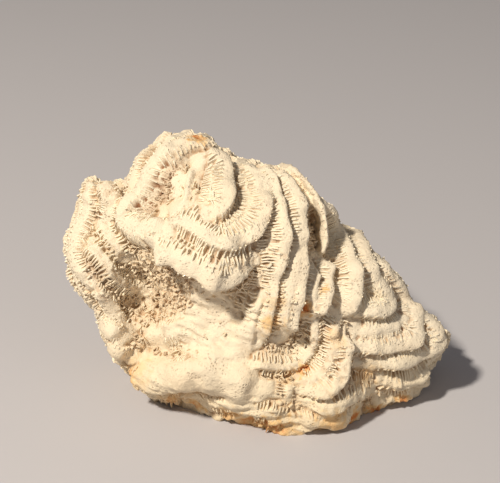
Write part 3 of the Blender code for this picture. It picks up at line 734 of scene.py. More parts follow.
# The shape of one rib: thickness and height of a major and a minor one, and how it bends, tapers and is worn.
RIB_STATIONS = 4
RIB_SAMPLES = 7
MAJOR_RIB = (0.52, 0.80)
MINOR_RIB = (0.44, 0.60)
RIB_ROOT = 0.8
RIB_TOP = 0.72
RIB_TAPER = 0.25
RIB_ASIDE = 0.2
RIB_BEND = 0.3
RIB_RAGGED = 0.35
# Painted shade at the four corners of a station: dark at the two root corners, where the rib meets the skin.
RIB_ROOT_SHADE = (0.9, 0.0, 0.0, 0.9)

# How far a rib stands out: it keeps below a line that falls away from the crest, but never sinks in.
CREST_FALL = 0.45
CREST_CURVE = 1.3
CREST_ROOM = 0.12
RIB_RELIEF = 0.72
RELIEF_RISE = 4
RELIEF_LEAST = 0.35

# The slots between the ribs: their depth and their painted shade, by the distance to the nearest rib and the
# depth in the valley, and how strongly the crumbs' cells are painted with shade.
BRIDGE_HALF = 0.45
SLOT_DEPTH = 1.0
SLOT_SIZE = 1.1
SLOT_FROM = 0.12
SLOT_EDGE = 0.16
SLOT_TO = 0.95
SLOT_FADE = 0.3
SLOT_FROM_DEPTH = 0.10
SLOT_EDGE_DEPTH = 0.18
SLOT_TO_DEPTH = 1.05
SLOT_FADE_DEPTH = 0.35
SLOT_LEAST = 0.4
SLOT_EVEN = 0.9
SLOT_UNEVEN = 0.8
CELL_SHADE = 0.75

# Small jagged plates on the valley floors: where they stand, and how likely each is.
SHARD_SEED = 23
SHARD_FROM = 0.86
SHARD_ROUGH = 0.5
SHARD_CHANCE = 0.55
SHARD_CHANCE_LOW = 0.35
SHARD_SMOOTH_LOSS = 0.92

# The shape of one plate, as the least and the most of each share of its size.
SHARD_SIZE = (0.6, 1.25)
SHARD_LENGTH = (0.40, 0.75)
SHARD_THICKNESS = (0.14, 0.24)
SHARD_RISE = (0.45, 0.95)
SHARD_LEAN_ALONG = (-0.25, 0.25)
SHARD_LEAN_ACROSS = (-0.2, 0.2)
SHARD_NOTCH = (0.0, 0.7)
SHARD_TOP_LENGTH = 0.75
SHARD_TOP_THICKNESS = 0.6
SHARD_ROOT = 0.35
# Painted shade at the eight corners: dark at the four root corners, where the plate stands in its valley.
SHARD_ROOT_SHADE = (0.8, 0.8, 0.8, 0.8, 0.0, 0.0, 0.0, 0.0)

# The lowest height at which a rib or a small plate stands.
LOWEST = 1.5

# How much a surface faces the viewer for its ribs to belong to the face.
FACE_FROM = 0.2

# How deep in a valley the free fin counts as, for its colour.
FIN_DEPTH = 0.3

# How strongly each ridge of the face shows its ribs; a worn ridge shows few.
RIB_STRENGTH = {
    "arch": 0.85, "inner_lobe": 1.0, "loop": 0.95, "lip": 0.9, "band": 0.2, "foot_1": 0.45, "foot_2": 0.35,
    "foot_3": 0.3, "fin_edge": 0.6, "saddle": 0.8, "knob_1": 0.5, "knob_2": 0.5, "hollow_bump": 0.45,
    "pillar": 0.3, "inner_line": 0.0, "shoulder": 0.6, "terrace_1": 0.6, "terrace_2": 0.5, "terrace_3": 0.5,
    "terrace_4": 0.5, "under_1": 0.5, "under_2": 0.4, "buttress": 0.5,
}

# Places that are worn until no ribs are left, as (across, up, radius).
WORN = (
    (-12.0, -9.5, 8.0), (-7.0, -15.5, 6.0), (-3.0, -12.0, 4.0), (-24.0, -22.0, 6.0), (-14.0, -22.0, 7.0),
    (-4.0, -24.0, 6.0),
)
WORN_LIMIT = 0.5

# Brown pits, as (across, up, radius, strength).
PITS = (
    (-22.5, 29, 3.0, 1.0), (-24, 24, 2.5, 0.9), (-27, 21.5, 2.5, 0.9), (-30, 20.5, 2.5, 1.0),
    (-38.5, 18, 2.0, 0.8), (-13, 29, 3.5, 0.35), (-18.5, 15, 2.5, 0.6), (3.8, 17, 3.0, 0.6),
    (-24, -17, 3.0, 0.9), (-42, 5, 3.0, 0.5), (-38, -1, 3.0, 0.5), (-12, 8, 4.0, 0.35),
    (8.0, 15.0, 4.0, 0.5), (12.0, 12.0, 4.0, 0.5), (35.0, -5.5, 4.0, 0.6), (27.0, -13.0, 3.0, 0.7),
    (9.0, -25.0, 2.5, 0.7), (-12.0, -30.0, 2.0, 0.7), (24.0, -20.0, 4.0, 0.4),
)

# Stains, as (across, up, radius, strength): a weak one is ochre, a strong one rust.
RUST = (
    (-6.0, -31.5, 3.0, 0.5), (0.0, -33.5, 3.5, 0.6), (5.0, -35.5, 4.0, 0.7), (10.0, -36.5, 4.0, 0.7),
    (15.0, -35.5, 4.0, 0.6), (20.0, -33.5, 3.5, 0.5), (8.5, -22.0, 2.2, 0.2), (5.5, -3.0, 2.0, 0.3),
    (-20.0, -27.0, 4.0, 0.25), (-30.0, -21.0, 4.0, 0.25), (27.0, -21.0, 3.0, 0.3), (20.0, -12.0, 2.5, 0.2),
    (-13.8, 40.3, 1.8, 1.0), (-14.4, 38.0, 1.7, 0.9), (-13.0, 37.8, 1.2, 0.6), (12.3, -5.0, 1.4, 1.0),
    (12.0, -19.8, 1.4, 0.9), (4.3, -8.8, 2.0, 0.5),
    (17.5, 0.0, 0.7, 0.9), (-2.0, -33.0, 2.4, 0.7), (3.0, -35.0, 2.4, 0.9), (8.0, -36.6, 2.8, 1.0),
    (11.0, -36.9, 2.0, 0.8), (24.0, -32.0, 1.8, 1.0), (30.0, -30.0, 1.8, 0.9), (37.0, -27.5, 1.5, 0.8),
    (-21.0, -28.5, 1.5, 0.6), (-16.0, -30.0, 1.5, 0.8), (-33.0, -22.0, 1.6, 0.6),
)
STAIN_RAGGED = 0.5
STAIN_SIZE = 1.3
STAIN_REACH = 2.5
STAIN_EDGE = 1.6

NOISE_GAIN = 1.6
BOX_ROOM = 0.02

# Colours of the dry coral and of the floor; the right-hand grey and the slot brown are painted shade.
CREAM = (0.82, 0.70, 0.52, 1)
PALE_CREAM = (0.86, 0.76, 0.58, 1)
FOOT_YELLOW = (0.86, 0.66, 0.36, 1)
# Painted shade: a grey that darkens the right-hand side, where the light only grazes.
RIGHT_SIDE_SHADE = (0.66, 0.60, 0.49, 1)
PATCH_TAN = (0.80, 0.62, 0.42, 1)
VALLEY_TAN = (0.62, 0.42, 0.22, 1)
# Painted shade: the brown that darkens the slots between ribs, the crumbs' cells and the roots of ribs and
# plates.
SLOT_SHADE_BROWN = (0.42, 0.24, 0.11, 1)
PIT_BROWN = (0.24, 0.085, 0.025, 1)
PORE_BROWN = (0.45, 0.30, 0.18, 1)
STAIN_OCHRE = (0.80, 0.50, 0.20, 1)
STAIN_RUST = (0.66, 0.20, 0.035, 1)
FLOOR_GREY = (0.50, 0.48, 0.49, 1)

# Patterns of the material, as repeats a metre, and the depth of its relief in metres.
PORE_PATCHES = 260.0
BLOTCHES = 90.0
STAIN_GRAIN = 700.0
RELIEF_DEPTH = 0.0004
ROUGHNESS_SPREAD = 0.08


def noise_at(points, size):
    """Smooth noise of this size, from about -1 to 1."""
    return NOISE_GAIN * np.array([noise.noise(Vector(p)) for p in points / size])


def weather(points, normals):
    """Adds the fine lumps of the skin."""
    lift = sum(height * noise_at(points, size) for size, height in LUMPS)
    return points + normals * lift[:, None]


def near_spots(points, tree, spots):
    """How near each point is to one of the spots, given as (across, up, radius): 1 inside, 0 far away."""
    share = np.zeros(len(points))
    for across, up, radius in spots:
        centre, _ = sight(tree, (across, up))
        gap = np.linalg.norm(points - centre, axis=1) / radius
        share = np.maximum(share, np.clip(SPOT_FULL - SPOT_FADE * gap, 0, 1))
    return share


def crumbs(points, depth, smooth, rough):
    """The crumbly net of the valley floors: its lift, and how deep in a cell each point is."""
    share = np.clip((depth - CRUMB_FROM) / (1 - CRUMB_FROM), 0, 1)
    share = np.maximum(share, ROUGH_SHARE * rough) * (1 - SMOOTH_LOSS * smooth)
    some = np.flatnonzero(share > 0)
    wall, fine = np.zeros(len(points)), np.zeros(len(points))
    wall[some] = 1 - CRUMB_WALL * np.abs(noise_at(points[some], CRUMB_SIZE))
    fine[some] = noise_at(points[some] + CRUMB_SHIFT, CRUMB_SIZE / 2)
    net = np.clip(wall, -1, 1) + CRUMB_FINE * fine
    return CRUMB_HEIGHT * share * (net - CRUMB_LEVEL), share * np.clip(CRUMB_CELL - net, 0, 1)


def layers(points, tree):
    """The thin worn layers of the foot, and the fine lines of the wall."""
    low = np.clip(LAYERS_START - points[:, 2] / LAYERS_BELOW, 0, 1)
    sheet = noise_at(points * (1 / LAYERS_LENGTH, 1 / LAYERS_LENGTH, 1 / LAYERS_SPACING), 1.0)
    lift = LAYERS_HEIGHT * low * np.clip(LAYERS_GAIN * sheet, -LAYERS_FLAT, LAYERS_FLAT)
    along = math.cos(LINES_SLOPE) * ACROSS + math.sin(LINES_SLOPE) * UP
    over = math.cos(LINES_SLOPE) * UP - math.sin(LINES_SLOPE) * ACROSS
    place = np.column_stack([
        points @ along / LINES_LENGTH, points @ over / LINES_SPACING, points @ TOWARDS / LINES_LENGTH
    ])
    return lift + LINES_HEIGHT * near_spots(points, tree, [LINES_PLACE]) * noise_at(place, 1.0)


def raised(points, normals, lines):
    """Points of the base, lifted onto the ridges, and how deep in a valley each one is, from 0 to 1."""
    lift, lean, share = ridge_lift(points, lines)
    aside = lean[:, :1] * ACROSS + lean[:, 1:] * UP
    moved = points + normals * (lift - VALLEY_SINK)[:, None] + aside * lift[:, None]
    return moved, 1 - share, lift


def drawn_down(points):
    """The lowest part drawn down, as the foot of the solid is."""
    points = points.copy()
    share = np.clip(1 - points[:, 2] / FOOT_FROM, 0, 1.5)
    points[:, 2] -= FOOT_DROP * share**2
    return points


def stain(points, tree, spots):
    """How strongly the spots colour each point, from 0 to 1."""
    amount = np.zeros(len(points))
    for across, up, radius, strength in spots:
        centre, _ = sight(tree, (across, up))
        gap = np.linalg.norm(points - centre, axis=1) / radius
        near = np.flatnonzero(gap < STAIN_REACH)
        ragged = gap[near] * (1 + STAIN_RAGGED * noise_at(points[near], STAIN_SIZE))
        amount[near] = np.maximum(amount[near], strength * np.clip(STAIN_EDGE - ragged, 0, 1))
    return amount


def inside_box(points):
    """Keeps points in millimetres inside the solid's own box."""
    low = np.array(CAD_LOW) / MM + BOX_ROOM
    high = np.array(CAD_HIGH) / MM - BOX_ROOM
    low[2] = 0.0
    return np.clip(points, low, high)


def give_values(mesh, name, values):
    """Stores one number a point, for the material to read."""
    layer = mesh.attributes.new(name, "FLOAT", "POINT")
    layer.data.foreach_set("value", np.asarray(values, np.float32))


def finish_surface(piece, depth, dark, skin_tree):
    """Stores what the material reads at each point, then keeps the piece inside the solid's own box."""
    points = coordinates(piece.data)
    give_values(piece.data, "depth", depth)
    # The slot value is painted shade: how dark the slots, the crumbs' cells and the roots of ribs and plates
    # are made.
    give_values(piece.data, "slot", dark)
    give_values(piece.data, "brown", stain(points, skin_tree, PITS))
    give_values(piece.data, "rust", stain(points, skin_tree, RUST))
    set_coordinates(piece.data, inside_box(points))


def new_object(name, data):
    """A new object of the scene with this mesh, lamp or camera."""
    thing = bpy.data.objects.new(name, data)
    bpy.context.scene.collection.objects.link(thing)
    return thing


def surface_tree(mesh):
    """The mesh's faces, for finding the nearest place on them."""
    corners = [Vector(point) for point in coordinates(mesh)]
    return BVHTree.FromPolygons(corners, [tuple(face.vertices) for face in mesh.polygons])


def slots(points, depth, rib_points):
    """How far each point is inside a slot between two ribs, from 0 to 1."""
    known = tree_of(rib_points)
    gaps = np.array([known.find(point)[2] for point in points])
    between = np.clip((gaps - SLOT_FROM) / SLOT_EDGE, 0, 1) * np.clip((SLOT_TO - gaps) / SLOT_FADE, 0, 1)
    upper = np.clip((depth - SLOT_FROM_DEPTH) / SLOT_EDGE_DEPTH, 0, 1)
    lower = np.clip((SLOT_TO_DEPTH - depth) / SLOT_FADE_DEPTH, SLOT_LEAST, 1)
    broken = np.clip(SLOT_EVEN + SLOT_UNEVEN * noise_at(points, SLOT_SIZE), SLOT_LEAST, 1)
    return between * (upper * lower) * broken


def tree_of(points):
    known = KDTree(len(points))
    for index, point in enumerate(points):
        known.insert(point, index)
    known.balance()
    return known


def add_fin(skin):
    """Joins the free fin to the skin, with its own fine lumps, and gives its points."""
    fin = new_object("fin", make_fin())
    apply_modifier(fin, "SUBSURF", levels=2, render_levels=2, subdivision_type="SIMPLE")
    points = weather(coordinates(fin.data), normals_of(fin.data))
    set_coordinates(fin.data, points)
    join_fin(skin, fin.data)
    bpy.data.objects.remove(fin)
    return points


def make_skin(base, base_tree, lines, rib_points):
    """The coral's skin, with its ridges, lumps, slots and crumbs."""
    skin = new_object("coral_skin", base.data.copy())
    apply_modifier(skin, "SUBSURF", levels=2, render_levels=2)
    normals = normals_of(skin.data)
    on_base = coordinates(skin.data)
    points, depth, _ = raised(on_base, normals, lines)
    slot = slots(on_base, depth, rib_points)
    smooth = near_spots(on_base, base_tree, SMOOTH)
    rough = near_spots(on_base, base_tree, ROUGH)
    crumb, cell = crumbs(on_base, depth, smooth, rough)
    lift = crumb - SLOT_DEPTH * slot + layers(on_base, base_tree)
    points = drawn_down(weather(points, normals) + normals * lift[:, None])
    # Painted shade: dark in the slots between ribs and in the crumbs' cells.
    dark = np.maximum(slot, CELL_SHADE * cell)
    depth = depth * (1 - SMOOTH_LOSS * smooth)
    set_coordinates(skin.data, points)
    fin_points = add_fin(skin)
    points = np.vstack([fin_points, points])
    depth = np.concatenate([np.full(len(fin_points), FIN_DEPTH), depth])
    dark = np.concatenate([np.zeros(len(fin_points)), dark])
    known = tree_of(points)
    apply_modifier(skin, "REMESH", mode="VOXEL", voxel_size=SKIN_VOXEL)
    apply_modifier(skin, "DECIMATE", ratio=min(1.0, SKIN_FACES / (2 * len(skin.data.polygons))))
    cut_base(skin)
    nearest = np.array([known.find(point)[1] for point in coordinates(skin.data)])
    tree = surface_tree(skin.data)
    finish_surface(skin, depth[nearest], dark[nearest], tree)
    for face in skin.data.polygons:
        face.use_smooth = True
    return skin, tree


class Ribs:
    """Collects the ribs' root paths on the base, then builds them all at once."""

    def __init__(self, base, tree, lines, seed):
        self.tree = tree
        self.lines = lines
        self.random = np.random.default_rng(seed)
        self.base_normals = normals_of(base.data)
        self.base_tree = tree_of(coordinates(base.data))
        self.ridge_tree = tree_of(np.vstack([line[0] for line in lines]))
        self.owner = [(number, along) for number, line in enumerate(lines) for along in range(len(line[0]))]
        self.others = [
            tree_of(np.vstack([line[0] for line in lines[:number] + lines[number + 1:]]))
            for number in range(len(lines))
        ]

    def reach(self, place, aside, number, along, longest, share):
        """How far a rib can run from the crest, within this share of the way to the next ridge."""
        distance = RIB_STEP
        while distance < longest:
            spot = self.tree.find_nearest(Vector(place + aside * distance))[0]
            if distance > share * (distance + self.others[number].find(spot)[2]):
                break
            owner, position = self.owner[self.ridge_tree.find(spot)[1]]
            if owner == number and abs(position - along) * FILL_STEP > SAME_RIDGE_ROOM + distance:
                break
            distance += RIB_STEP
        return distance

    def rows(self, start, end, tone):
        """Where a long rib is broken, so that the ribs stand in rows of short ones."""
        count = max(1, round((end - start) / ROW_LENGTH))
        edges = np.linspace(start, end, count + 1)
        edges[1:-1] += ROW_SHIFT * tone
        return zip(edges[:-1] + ROW_BREAK / 2, edges[1:] - ROW_BREAK / 2)

    def trace(self):
        """Every rib as its stations on the base, with its thickness and height, and the way of its ridge."""
        found = []
        for number, (line, _, _, _, strength) in enumerate(self.lines):
            if strength > 0 and len(line) >= SHORTEST_RIDGE:
                self.trace_ridge(number, found)
        paths, sizes, sides = zip(*found)
        return np.array(paths), np.array(sizes), np.array(sides)

    def trace_ridge(self, number, found):
        """Adds the ribs of one ridge to those found."""
        line = self.lines[number][0]
        steps = np.linalg.norm(np.diff(line, axis=0), axis=1)
        length = np.concatenate([[0], np.cumsum(steps)])
        at, count = self.random.uniform(0, RIB_GAP), 0
        while at < length[-1]:
            place = np.array([np.interp(at, length, line[:, k]) for k in range(3)])
            along = int(np.searchsorted(length, at))
            before, after = line[max(along - 2, 0)], line[min(along + 1, len(line) - 1)]
            tangent = (after - before) / (np.linalg.norm(after - before) + 1e-9)
            normal = np.array(self.tree.find_nearest(Vector(place))[1])
            tone = noise.noise(Vector(place / RIB_TONE))
            for side in (1, -1):
                aside = np.cross(normal, tangent) * side
                aside = aside / (np.linalg.norm(aside) + 1e-9)
                major = (count + (side < 0)) % 2 == 0
                self.trace_side(number, along, place, tangent, aside, tone, major, found)
            count += 1
            gap = RIB_GAP * (1 + RIB_GAP_MORE * max(0.0, tone))
            at += gap * self.random.uniform(*RIB_VARIES)

    def trace_side(self, number, along, place, tangent, aside, tone, major, found):
        """Adds the row of ribs that runs from one place on a crest down one side of the ridge."""
        _, half_width, _, lean, strength = self.lines[number]
        steep = side_of(aside, lean)
        width_here = side_width(half_width, lean, steep)
        plate = skew_of(lean) * max(0.0, -steep)
        start = width_here * ((MAJOR_START if major else MINOR_START) + PLATE_START * plate)
        longest = RIB_REACH * width_here + RIB_REACH_MORE
        share = EVEN_REACH - PLATE_MORE * skew_of(lean) * steep
        end = self.reach(place, aside, number, along, longest, share)
        if end - start < RIB_SHORTEST or self.random.random() < RIB_MISSING:
            return
        width, height = MAJOR_RIB if major else MINOR_RIB
        local = strength * min(RIB_STRONGEST, max(RIB_WEAKEST, 1 + RIB_PATCHES * tone))
        shares = np.linspace(0, 1, RIB_STATIONS)
        for near, far in self.rows(start, end, tone):
            shift = self.random.uniform(-RIB_ASIDE, RIB_ASIDE)
            bend = shift + self.random.uniform(-RIB_BEND, RIB_BEND) * shares
            down = near + (far - near) * shares
            path = place + aside * down[:, None] + tangent * bend[:, None]
            size = (width, height * local * self.random.uniform(*RIB_VARIES))
            found.append((path, size, tangent))

    def samples(self, paths, sides):
        """Points close together along every rib's path, and across its upper end."""
        shares = np.linspace(0, RIB_STATIONS - 1, RIB_SAMPLES)
        before = np.minimum(shares.astype(int), RIB_STATIONS - 2)
        part = (shares - before)[None, :, None]
        found = paths[:, before] * (1 - part) + paths[:, before + 1] * part
        across = np.linspace(-BRIDGE_HALF, BRIDGE_HALF, 4)[None, :, None]
        bridges = paths[:, :1] + sides[:, None] * across
        found = np.concatenate([found, bridges], axis=1)
        return np.array([self.tree.find_nearest(Vector(p))[0] for p in found.reshape(-1, 3)])

    def place(self, paths):
        """Every station moved onto the ridges, with the normal, the depth and the lift there."""
        flat = paths.reshape(-1, 3)
        on_base = np.array([self.tree.find_nearest(Vector(p))[0] for p in flat])
        normals = np.array([self.base_normals[self.base_tree.find(p)[1]] for p in on_base])
        moved, depth, lift = raised(on_base, normals, [line[:4] for line in self.lines])
        return weather(moved, normals), normals, depth, lift

    def keep_above(self, traced, placed):
        """Leaves out the ribs that reach below the cut or stand in a worn place."""
        heights = drawn_down(placed[0])[:, 2].reshape(-1, RIB_STATIONS)
        middle = traced[0][:, RIB_STATIONS // 2]
        kept = (heights.min(axis=1) > LOWEST) & (near_spots(middle, self.tree, WORN) < WORN_LIMIT)
        stations = np.repeat(kept, RIB_STATIONS)
        return [part[kept] for part in traced], [part[stations] for part in placed]

    def heights(self, sizes, shares, lift):
        """How far the top of each station stands out from the ridge's side."""
        uneven = self.random.uniform(-RIB_RAGGED, RIB_RAGGED, len(shares))
        ragged = 1 + uneven * np.clip(shares * 2 - 0.5, 0, 1)
        strengths = np.repeat(np.clip(sizes[:, 1], RELIEF_LEAST, 1.0), RIB_STATIONS)
        crest = np.repeat(lift.reshape(len(sizes), -1)[:, 0], RIB_STATIONS)
        room = crest * (1 - CREST_FALL * shares**CREST_CURVE) - lift - CREST_ROOM
        height = np.minimum(np.repeat(sizes[:, 1], RIB_STATIONS) * ragged, room)
        relief = RIB_RELIEF * np.clip(RELIEF_RISE * shares, 0, 1) * ragged * strengths
        return np.maximum(height, relief - CREST_ROOM)

    def build(self, placed, sizes, sides, name):
        """One mesh of closed ribs along the paths, with the depth and the painted shade of its points."""
        moved, normals, depth, lift = placed
        shares = np.tile(np.linspace(0, 1, RIB_STATIONS), len(sizes))
        height = self.heights(sizes, shares, lift)
        width = np.repeat(sizes[:, 0], RIB_STATIONS) * (1 - RIB_TAPER * shares)
        half = np.repeat(sides, RIB_STATIONS, axis=0) * (0.5 * width)[:, None]
        top = moved + normals * height[:, None]
        root = moved - normals * RIB_ROOT
        ring = np.stack([root - half, top - RIB_TOP * half, top + RIB_TOP * half, root + half], axis=1)
        mesh = bpy.data.meshes.new(name)
        mesh.from_pydata(drawn_down(ring.reshape(-1, 3)).tolist(), [], rib_faces(len(sizes)))
        return new_object(name, mesh), np.repeat(depth, 4), np.tile(RIB_ROOT_SHADE, len(moved))


def rib_faces(count):
    """The faces of this many closed ribs, whose stations have four corners each."""
    faces = []
    for rib in range(count):
        first = rib * RIB_STATIONS * 4
        for station in range(RIB_STATIONS - 1):
            here = first + station * 4
            for side in range(4):
                a, b = here + side, here + (side + 1) % 4
                faces.append((a, b, b + 4, a + 4))
        faces.append((first, first + 3, first + 2, first + 1))
        last = first + (RIB_STATIONS - 1) * 4
        faces.append((last, last + 1, last + 2, last + 3))
    return faces


def recalculate_outside(piece):
    shape = bmesh.new()
    shape.from_mesh(piece.data)
    bmesh.ops.recalc_face_normals(shape, faces=shape.faces[:])
    shape.to_mesh(piece.data)
    shape.free()


def make_ribs(ribs, traced, placed, skin_tree):
    """The fine ribs, in a few pieces so that none has too many faces."""
    paths, sizes, sides = traced
    middle = paths[:, RIB_STATIONS // 2]
    normals = placed[1].reshape(len(paths), RIB_STATIONS, 3)[:, RIB_STATIONS // 2]
    facing = normals @ TOWARDS > FACE_FROM
    groups = {
        "ribs_face_left": facing & (middle[:, 0] < 0),
        "ribs_face_right": facing & (middle[:, 0] >= 0),
        "ribs_back_left": ~facing & (middle[:, 0] < 0),
        "ribs_back_right": ~facing & (middle[:, 0] >= 0),
    }
    pieces = []
    for name, chosen in groups.items():
        stations = np.repeat(chosen, RIB_STATIONS)
        chosen_places = [part[stations] for part in placed]
        piece, depth, dark = ribs.build(chosen_places, sizes[chosen], sides[chosen], name)
        recalculate_outside(piece)
        finish_surface(piece, depth, dark, skin_tree)
        pieces.append(piece)
    return pieces


def make_shards(base, tree, lines, skin_tree):
    """Small jagged plates that stand on the valley floors at all angles."""
    chance = np.random.default_rng(SHARD_SEED)
    corners = coordinates(base.data)
    normals = normals_of(base.data)
    spots = corners + chance.uniform(-0.5, 0.5, corners.shape) * BASE_VOXEL
    moved, depth, _ = raised(spots, normals, lines)
    likely = np.where(spots[:, 2] < FOOT_FROM, SHARD_CHANCE_LOW, SHARD_CHANCE)
    likely = likely * (1 - SHARD_SMOOTH_LOSS * near_spots(spots, tree, SMOOTH))
    rough = near_spots(spots, tree, ROUGH) * chance.random(len(spots))
    stand = depth > SHARD_FROM - SHARD_ROUGH * rough
    stand = stand & (chance.random(len(spots)) < likely) & (drawn_down(moved)[:, 2] > LOWEST)
    ring = shard_corners(chance, weather(moved[stand], normals[stand]), normals[stand])
    count = len(ring)
    box = ((0, 3, 2, 1), (4, 5, 6, 7), (0, 1, 5, 4), (1, 2, 6, 5), (2, 3, 7, 6), (3, 0, 4, 7))
    faces = [tuple(8 * shard + corner for corner in face) for shard in range(count) for face in box]
    mesh = bpy.data.meshes.new("valley_shards")
    mesh.from_pydata(drawn_down(ring.reshape(-1, 3)).tolist(), [], faces)
    piece = new_object("valley_shards", mesh)
    recalculate_outside(piece)
    finish_surface(piece, np.repeat(depth[stand], 8), np.tile(SHARD_ROOT_SHADE, count), skin_tree)
    return piece


def shard_corners(chance, places, outward):
    """The eight corners of a jagged plate at each place: four of its root, then four of its uneven top."""
    count = len(places)

    def share(limits):
        return chance.uniform(*limits, (count, 1))

    turned = np.cross(outward, chance.normal(size=(count, 3)))
    along = turned / (np.linalg.norm(turned, axis=1)[:, None] + 1e-9)
    across = np.cross(outward, along)
    size = share(SHARD_SIZE)
    length = along * size * share(SHARD_LENGTH)
    thick = across * size * share(SHARD_THICKNESS)
    rise = outward * size * share(SHARD_RISE)
    slant = along * share(SHARD_LEAN_ALONG) + across * share(SHARD_LEAN_ACROSS)
    root, top = places - outward * SHARD_ROOT, places + rise + slant
    notch = top - rise * share(SHARD_NOTCH)
    top_length, top_thick = SHARD_TOP_LENGTH * length, SHARD_TOP_THICKNESS * thick
    return np.stack([
        root - length - thick, root + length - thick, root + length + thick, root - length + thick,
        top - top_length - top_thick, notch + top_length - top_thick,
        notch + top_length + top_thick, top - top_length + top_thick,
    ], axis=1)


class Nodes:
    """Adds and joins nodes of one tree."""

    def __init__(self, tree):
        self.tree = tree

    def add(self, kind, inputs=(), **values):
        node = self.tree.nodes.new(kind)
        for name, value in values.items():
            setattr(node, name, value)
        for name, value in dict(inputs).items():
            self.put(node.inputs[name], value)
        return node

    def put(self, socket, value):
        if isinstance(value, bpy.types.NodeSocket):
            self.tree.links.new(value, socket)
        else:
            socket.default_value = value

    def math(self, operation, a, b=0.0, c=0.0):
        node = self.tree.nodes.new("ShaderNodeMath")
        node.operation = operation
        for socket, value in zip(node.inputs, (a, b, c)):
            self.put(socket, value)
        return node.outputs[0]

    def mix(self, share, a, b, kind="MIX"):
        node = self.tree.nodes.new("ShaderNodeMix")
        node.data_type = "RGBA"
        node.blend_type = kind
        self.put(node.inputs[0], share)
        self.put(node.inputs[6], a)
        self.put(node.inputs[7], b)
        return node.outputs[2]

    def range(self, value, low, high, to_low=0.0, to_high=1.0):
        node = self.tree.nodes.new("ShaderNodeMapRange")
        for socket, item in zip(node.inputs, (value, low, high, to_low, to_high)):
            self.put(socket, item)
        return node.outputs[0]


def grain_group():
    """Fine pores and crumbs of dry coral: a height for bumps, and a mask of the dark pores."""
    group = bpy.data.node_groups.new("coral_grain", "ShaderNodeTree")
    for name in ("Crumb Scale", "Pore Scale"):
        group.interface.new_socket(name, in_out="INPUT", socket_type="NodeSocketFloat")
    for name in ("Height", "Pores", "Blotches"):
        group.interface.new_socket(name, in_out="OUTPUT", socket_type="NodeSocketFloat")
    nodes = Nodes(group)
    ends = nodes.add("NodeGroupInput")
    out = nodes.add("NodeGroupOutput")
    place = nodes.add("ShaderNodeTexCoord").outputs["Object"]
    crumb_noise = {"Vector": place, "Scale": ends.outputs["Crumb Scale"], "Detail": 4.0, "Roughness": 0.65}
    crumbs = nodes.add("ShaderNodeTexNoise", crumb_noise).outputs["Fac"]
    cells = nodes.add("ShaderNodeTexVoronoi", {"Vector": place, "Scale": ends.outputs["Pore Scale"]})
    pores = nodes.range(cells.outputs["Distance"], 0.12, 0.42, 1.0, 0.0)
    patches = {"Vector": place, "Scale": PORE_PATCHES, "Detail": 2.0}
    some = nodes.add("ShaderNodeTexNoise", patches).outputs["Fac"]
    pores = nodes.math("MULTIPLY", pores, nodes.range(some, 0.42, 0.62))
    height = nodes.math("SUBTRACT", crumbs, nodes.math("MULTIPLY", pores, 0.7))
    blotch_noise = {"Vector": place, "Scale": BLOTCHES, "Detail": 3.0}
    blotches = nodes.add("ShaderNodeTexNoise", blotch_noise).outputs["Fac"]
    nodes.put(out.inputs["Height"], height)
    nodes.put(out.inputs["Pores"], pores)
    nodes.put(out.inputs["Blotches"], blotches)
    return group


def colour_group():
    """The coral's colour: cream crests, tan flanks, brown pits, rust stains, a yellower foot, and painted
    shade: a greyer right-hand side and brown slots.
    """
    group = bpy.data.node_groups.new("coral_colour", "ShaderNodeTree")
    for name in ("Depth", "Slot", "Brown", "Rust", "Blotches", "Pores"):
        group.interface.new_socket(name, in_out="INPUT", socket_type="NodeSocketFloat")
    group.interface.new_socket("Cream", in_out="INPUT", socket_type="NodeSocketColor")
    group.interface.new_socket("Colour", in_out="OUTPUT", socket_type="NodeSocketColor")
    nodes = Nodes(group)
    ends = nodes.add("NodeGroupInput").outputs
    out = nodes.add("NodeGroupOutput")
    place = nodes.add("ShaderNodeTexCoord").outputs["Object"]
    parts = nodes.add("ShaderNodeSeparateXYZ", {"Vector": place}).outputs
    low = nodes.range(parts["Z"], 0.022, 0.002)
    low = nodes.math("MULTIPLY", low, nodes.range(ends["Blotches"], 0.3, 0.7, 0.4, 1.0))
    base = nodes.mix(nodes.math("MULTIPLY", low, 0.55), ends["Cream"], FOOT_YELLOW)
    # Painted shade: the right-hand side is greyed, as if it lay in half shade.
    right = nodes.range(parts["X"], 0.012, 0.045, 0.0, 0.2)
    base = nodes.mix(right, base, RIGHT_SIDE_SHADE)
    patches = nodes.range(ends["Blotches"], 0.45, 0.75, 0.0, 0.35)
    base = nodes.mix(patches, base, PATCH_TAN)
    valley = nodes.range(ends["Depth"], 0.5, 1.0, 0.0, 0.28)
    base = nodes.mix(valley, base, VALLEY_TAN)
    # Painted shade, brown, in the slots between ribs, in the crumbs' cells and at the roots of ribs and
    # plates.
    deep = nodes.range(ends["Slot"], 0.15, 0.85)
    shade = nodes.math("MULTIPLY", deep, nodes.range(ends["Blotches"], 0.35, 0.6, 0.5, 0.9))
    base = nodes.mix(shade, base, SLOT_SHADE_BROWN)
    hollow = nodes.math("MAXIMUM", deep, nodes.range(ends["Depth"], 0.5, 1.0, 0.0, 0.4))
    pit = nodes.math("MULTIPLY", ends["Brown"], hollow)
    base = nodes.mix(nodes.math("MULTIPLY", pit, 0.9), base, PIT_BROWN)
    base = nodes.mix(nodes.math("MULTIPLY", ends["Pores"], 0.35), base, PORE_BROWN)
    grain = {"Vector": place, "Scale": STAIN_GRAIN, "Detail": 3.0}
    ragged = nodes.add("ShaderNodeTexNoise", grain).outputs["Fac"]
    rust = nodes.math("MULTIPLY", ends["Rust"], nodes.range(ragged, 0.30, 0.55, 0.35, 1.0))
    base = nodes.mix(nodes.range(rust, 0.02, 0.4, 0.0, 0.8), base, STAIN_OCHRE)
    base = nodes.mix(nodes.range(rust, 0.45, 0.95, 0.0, 0.95), base, STAIN_RUST)
    nodes.put(out.inputs["Colour"], base)
    return group


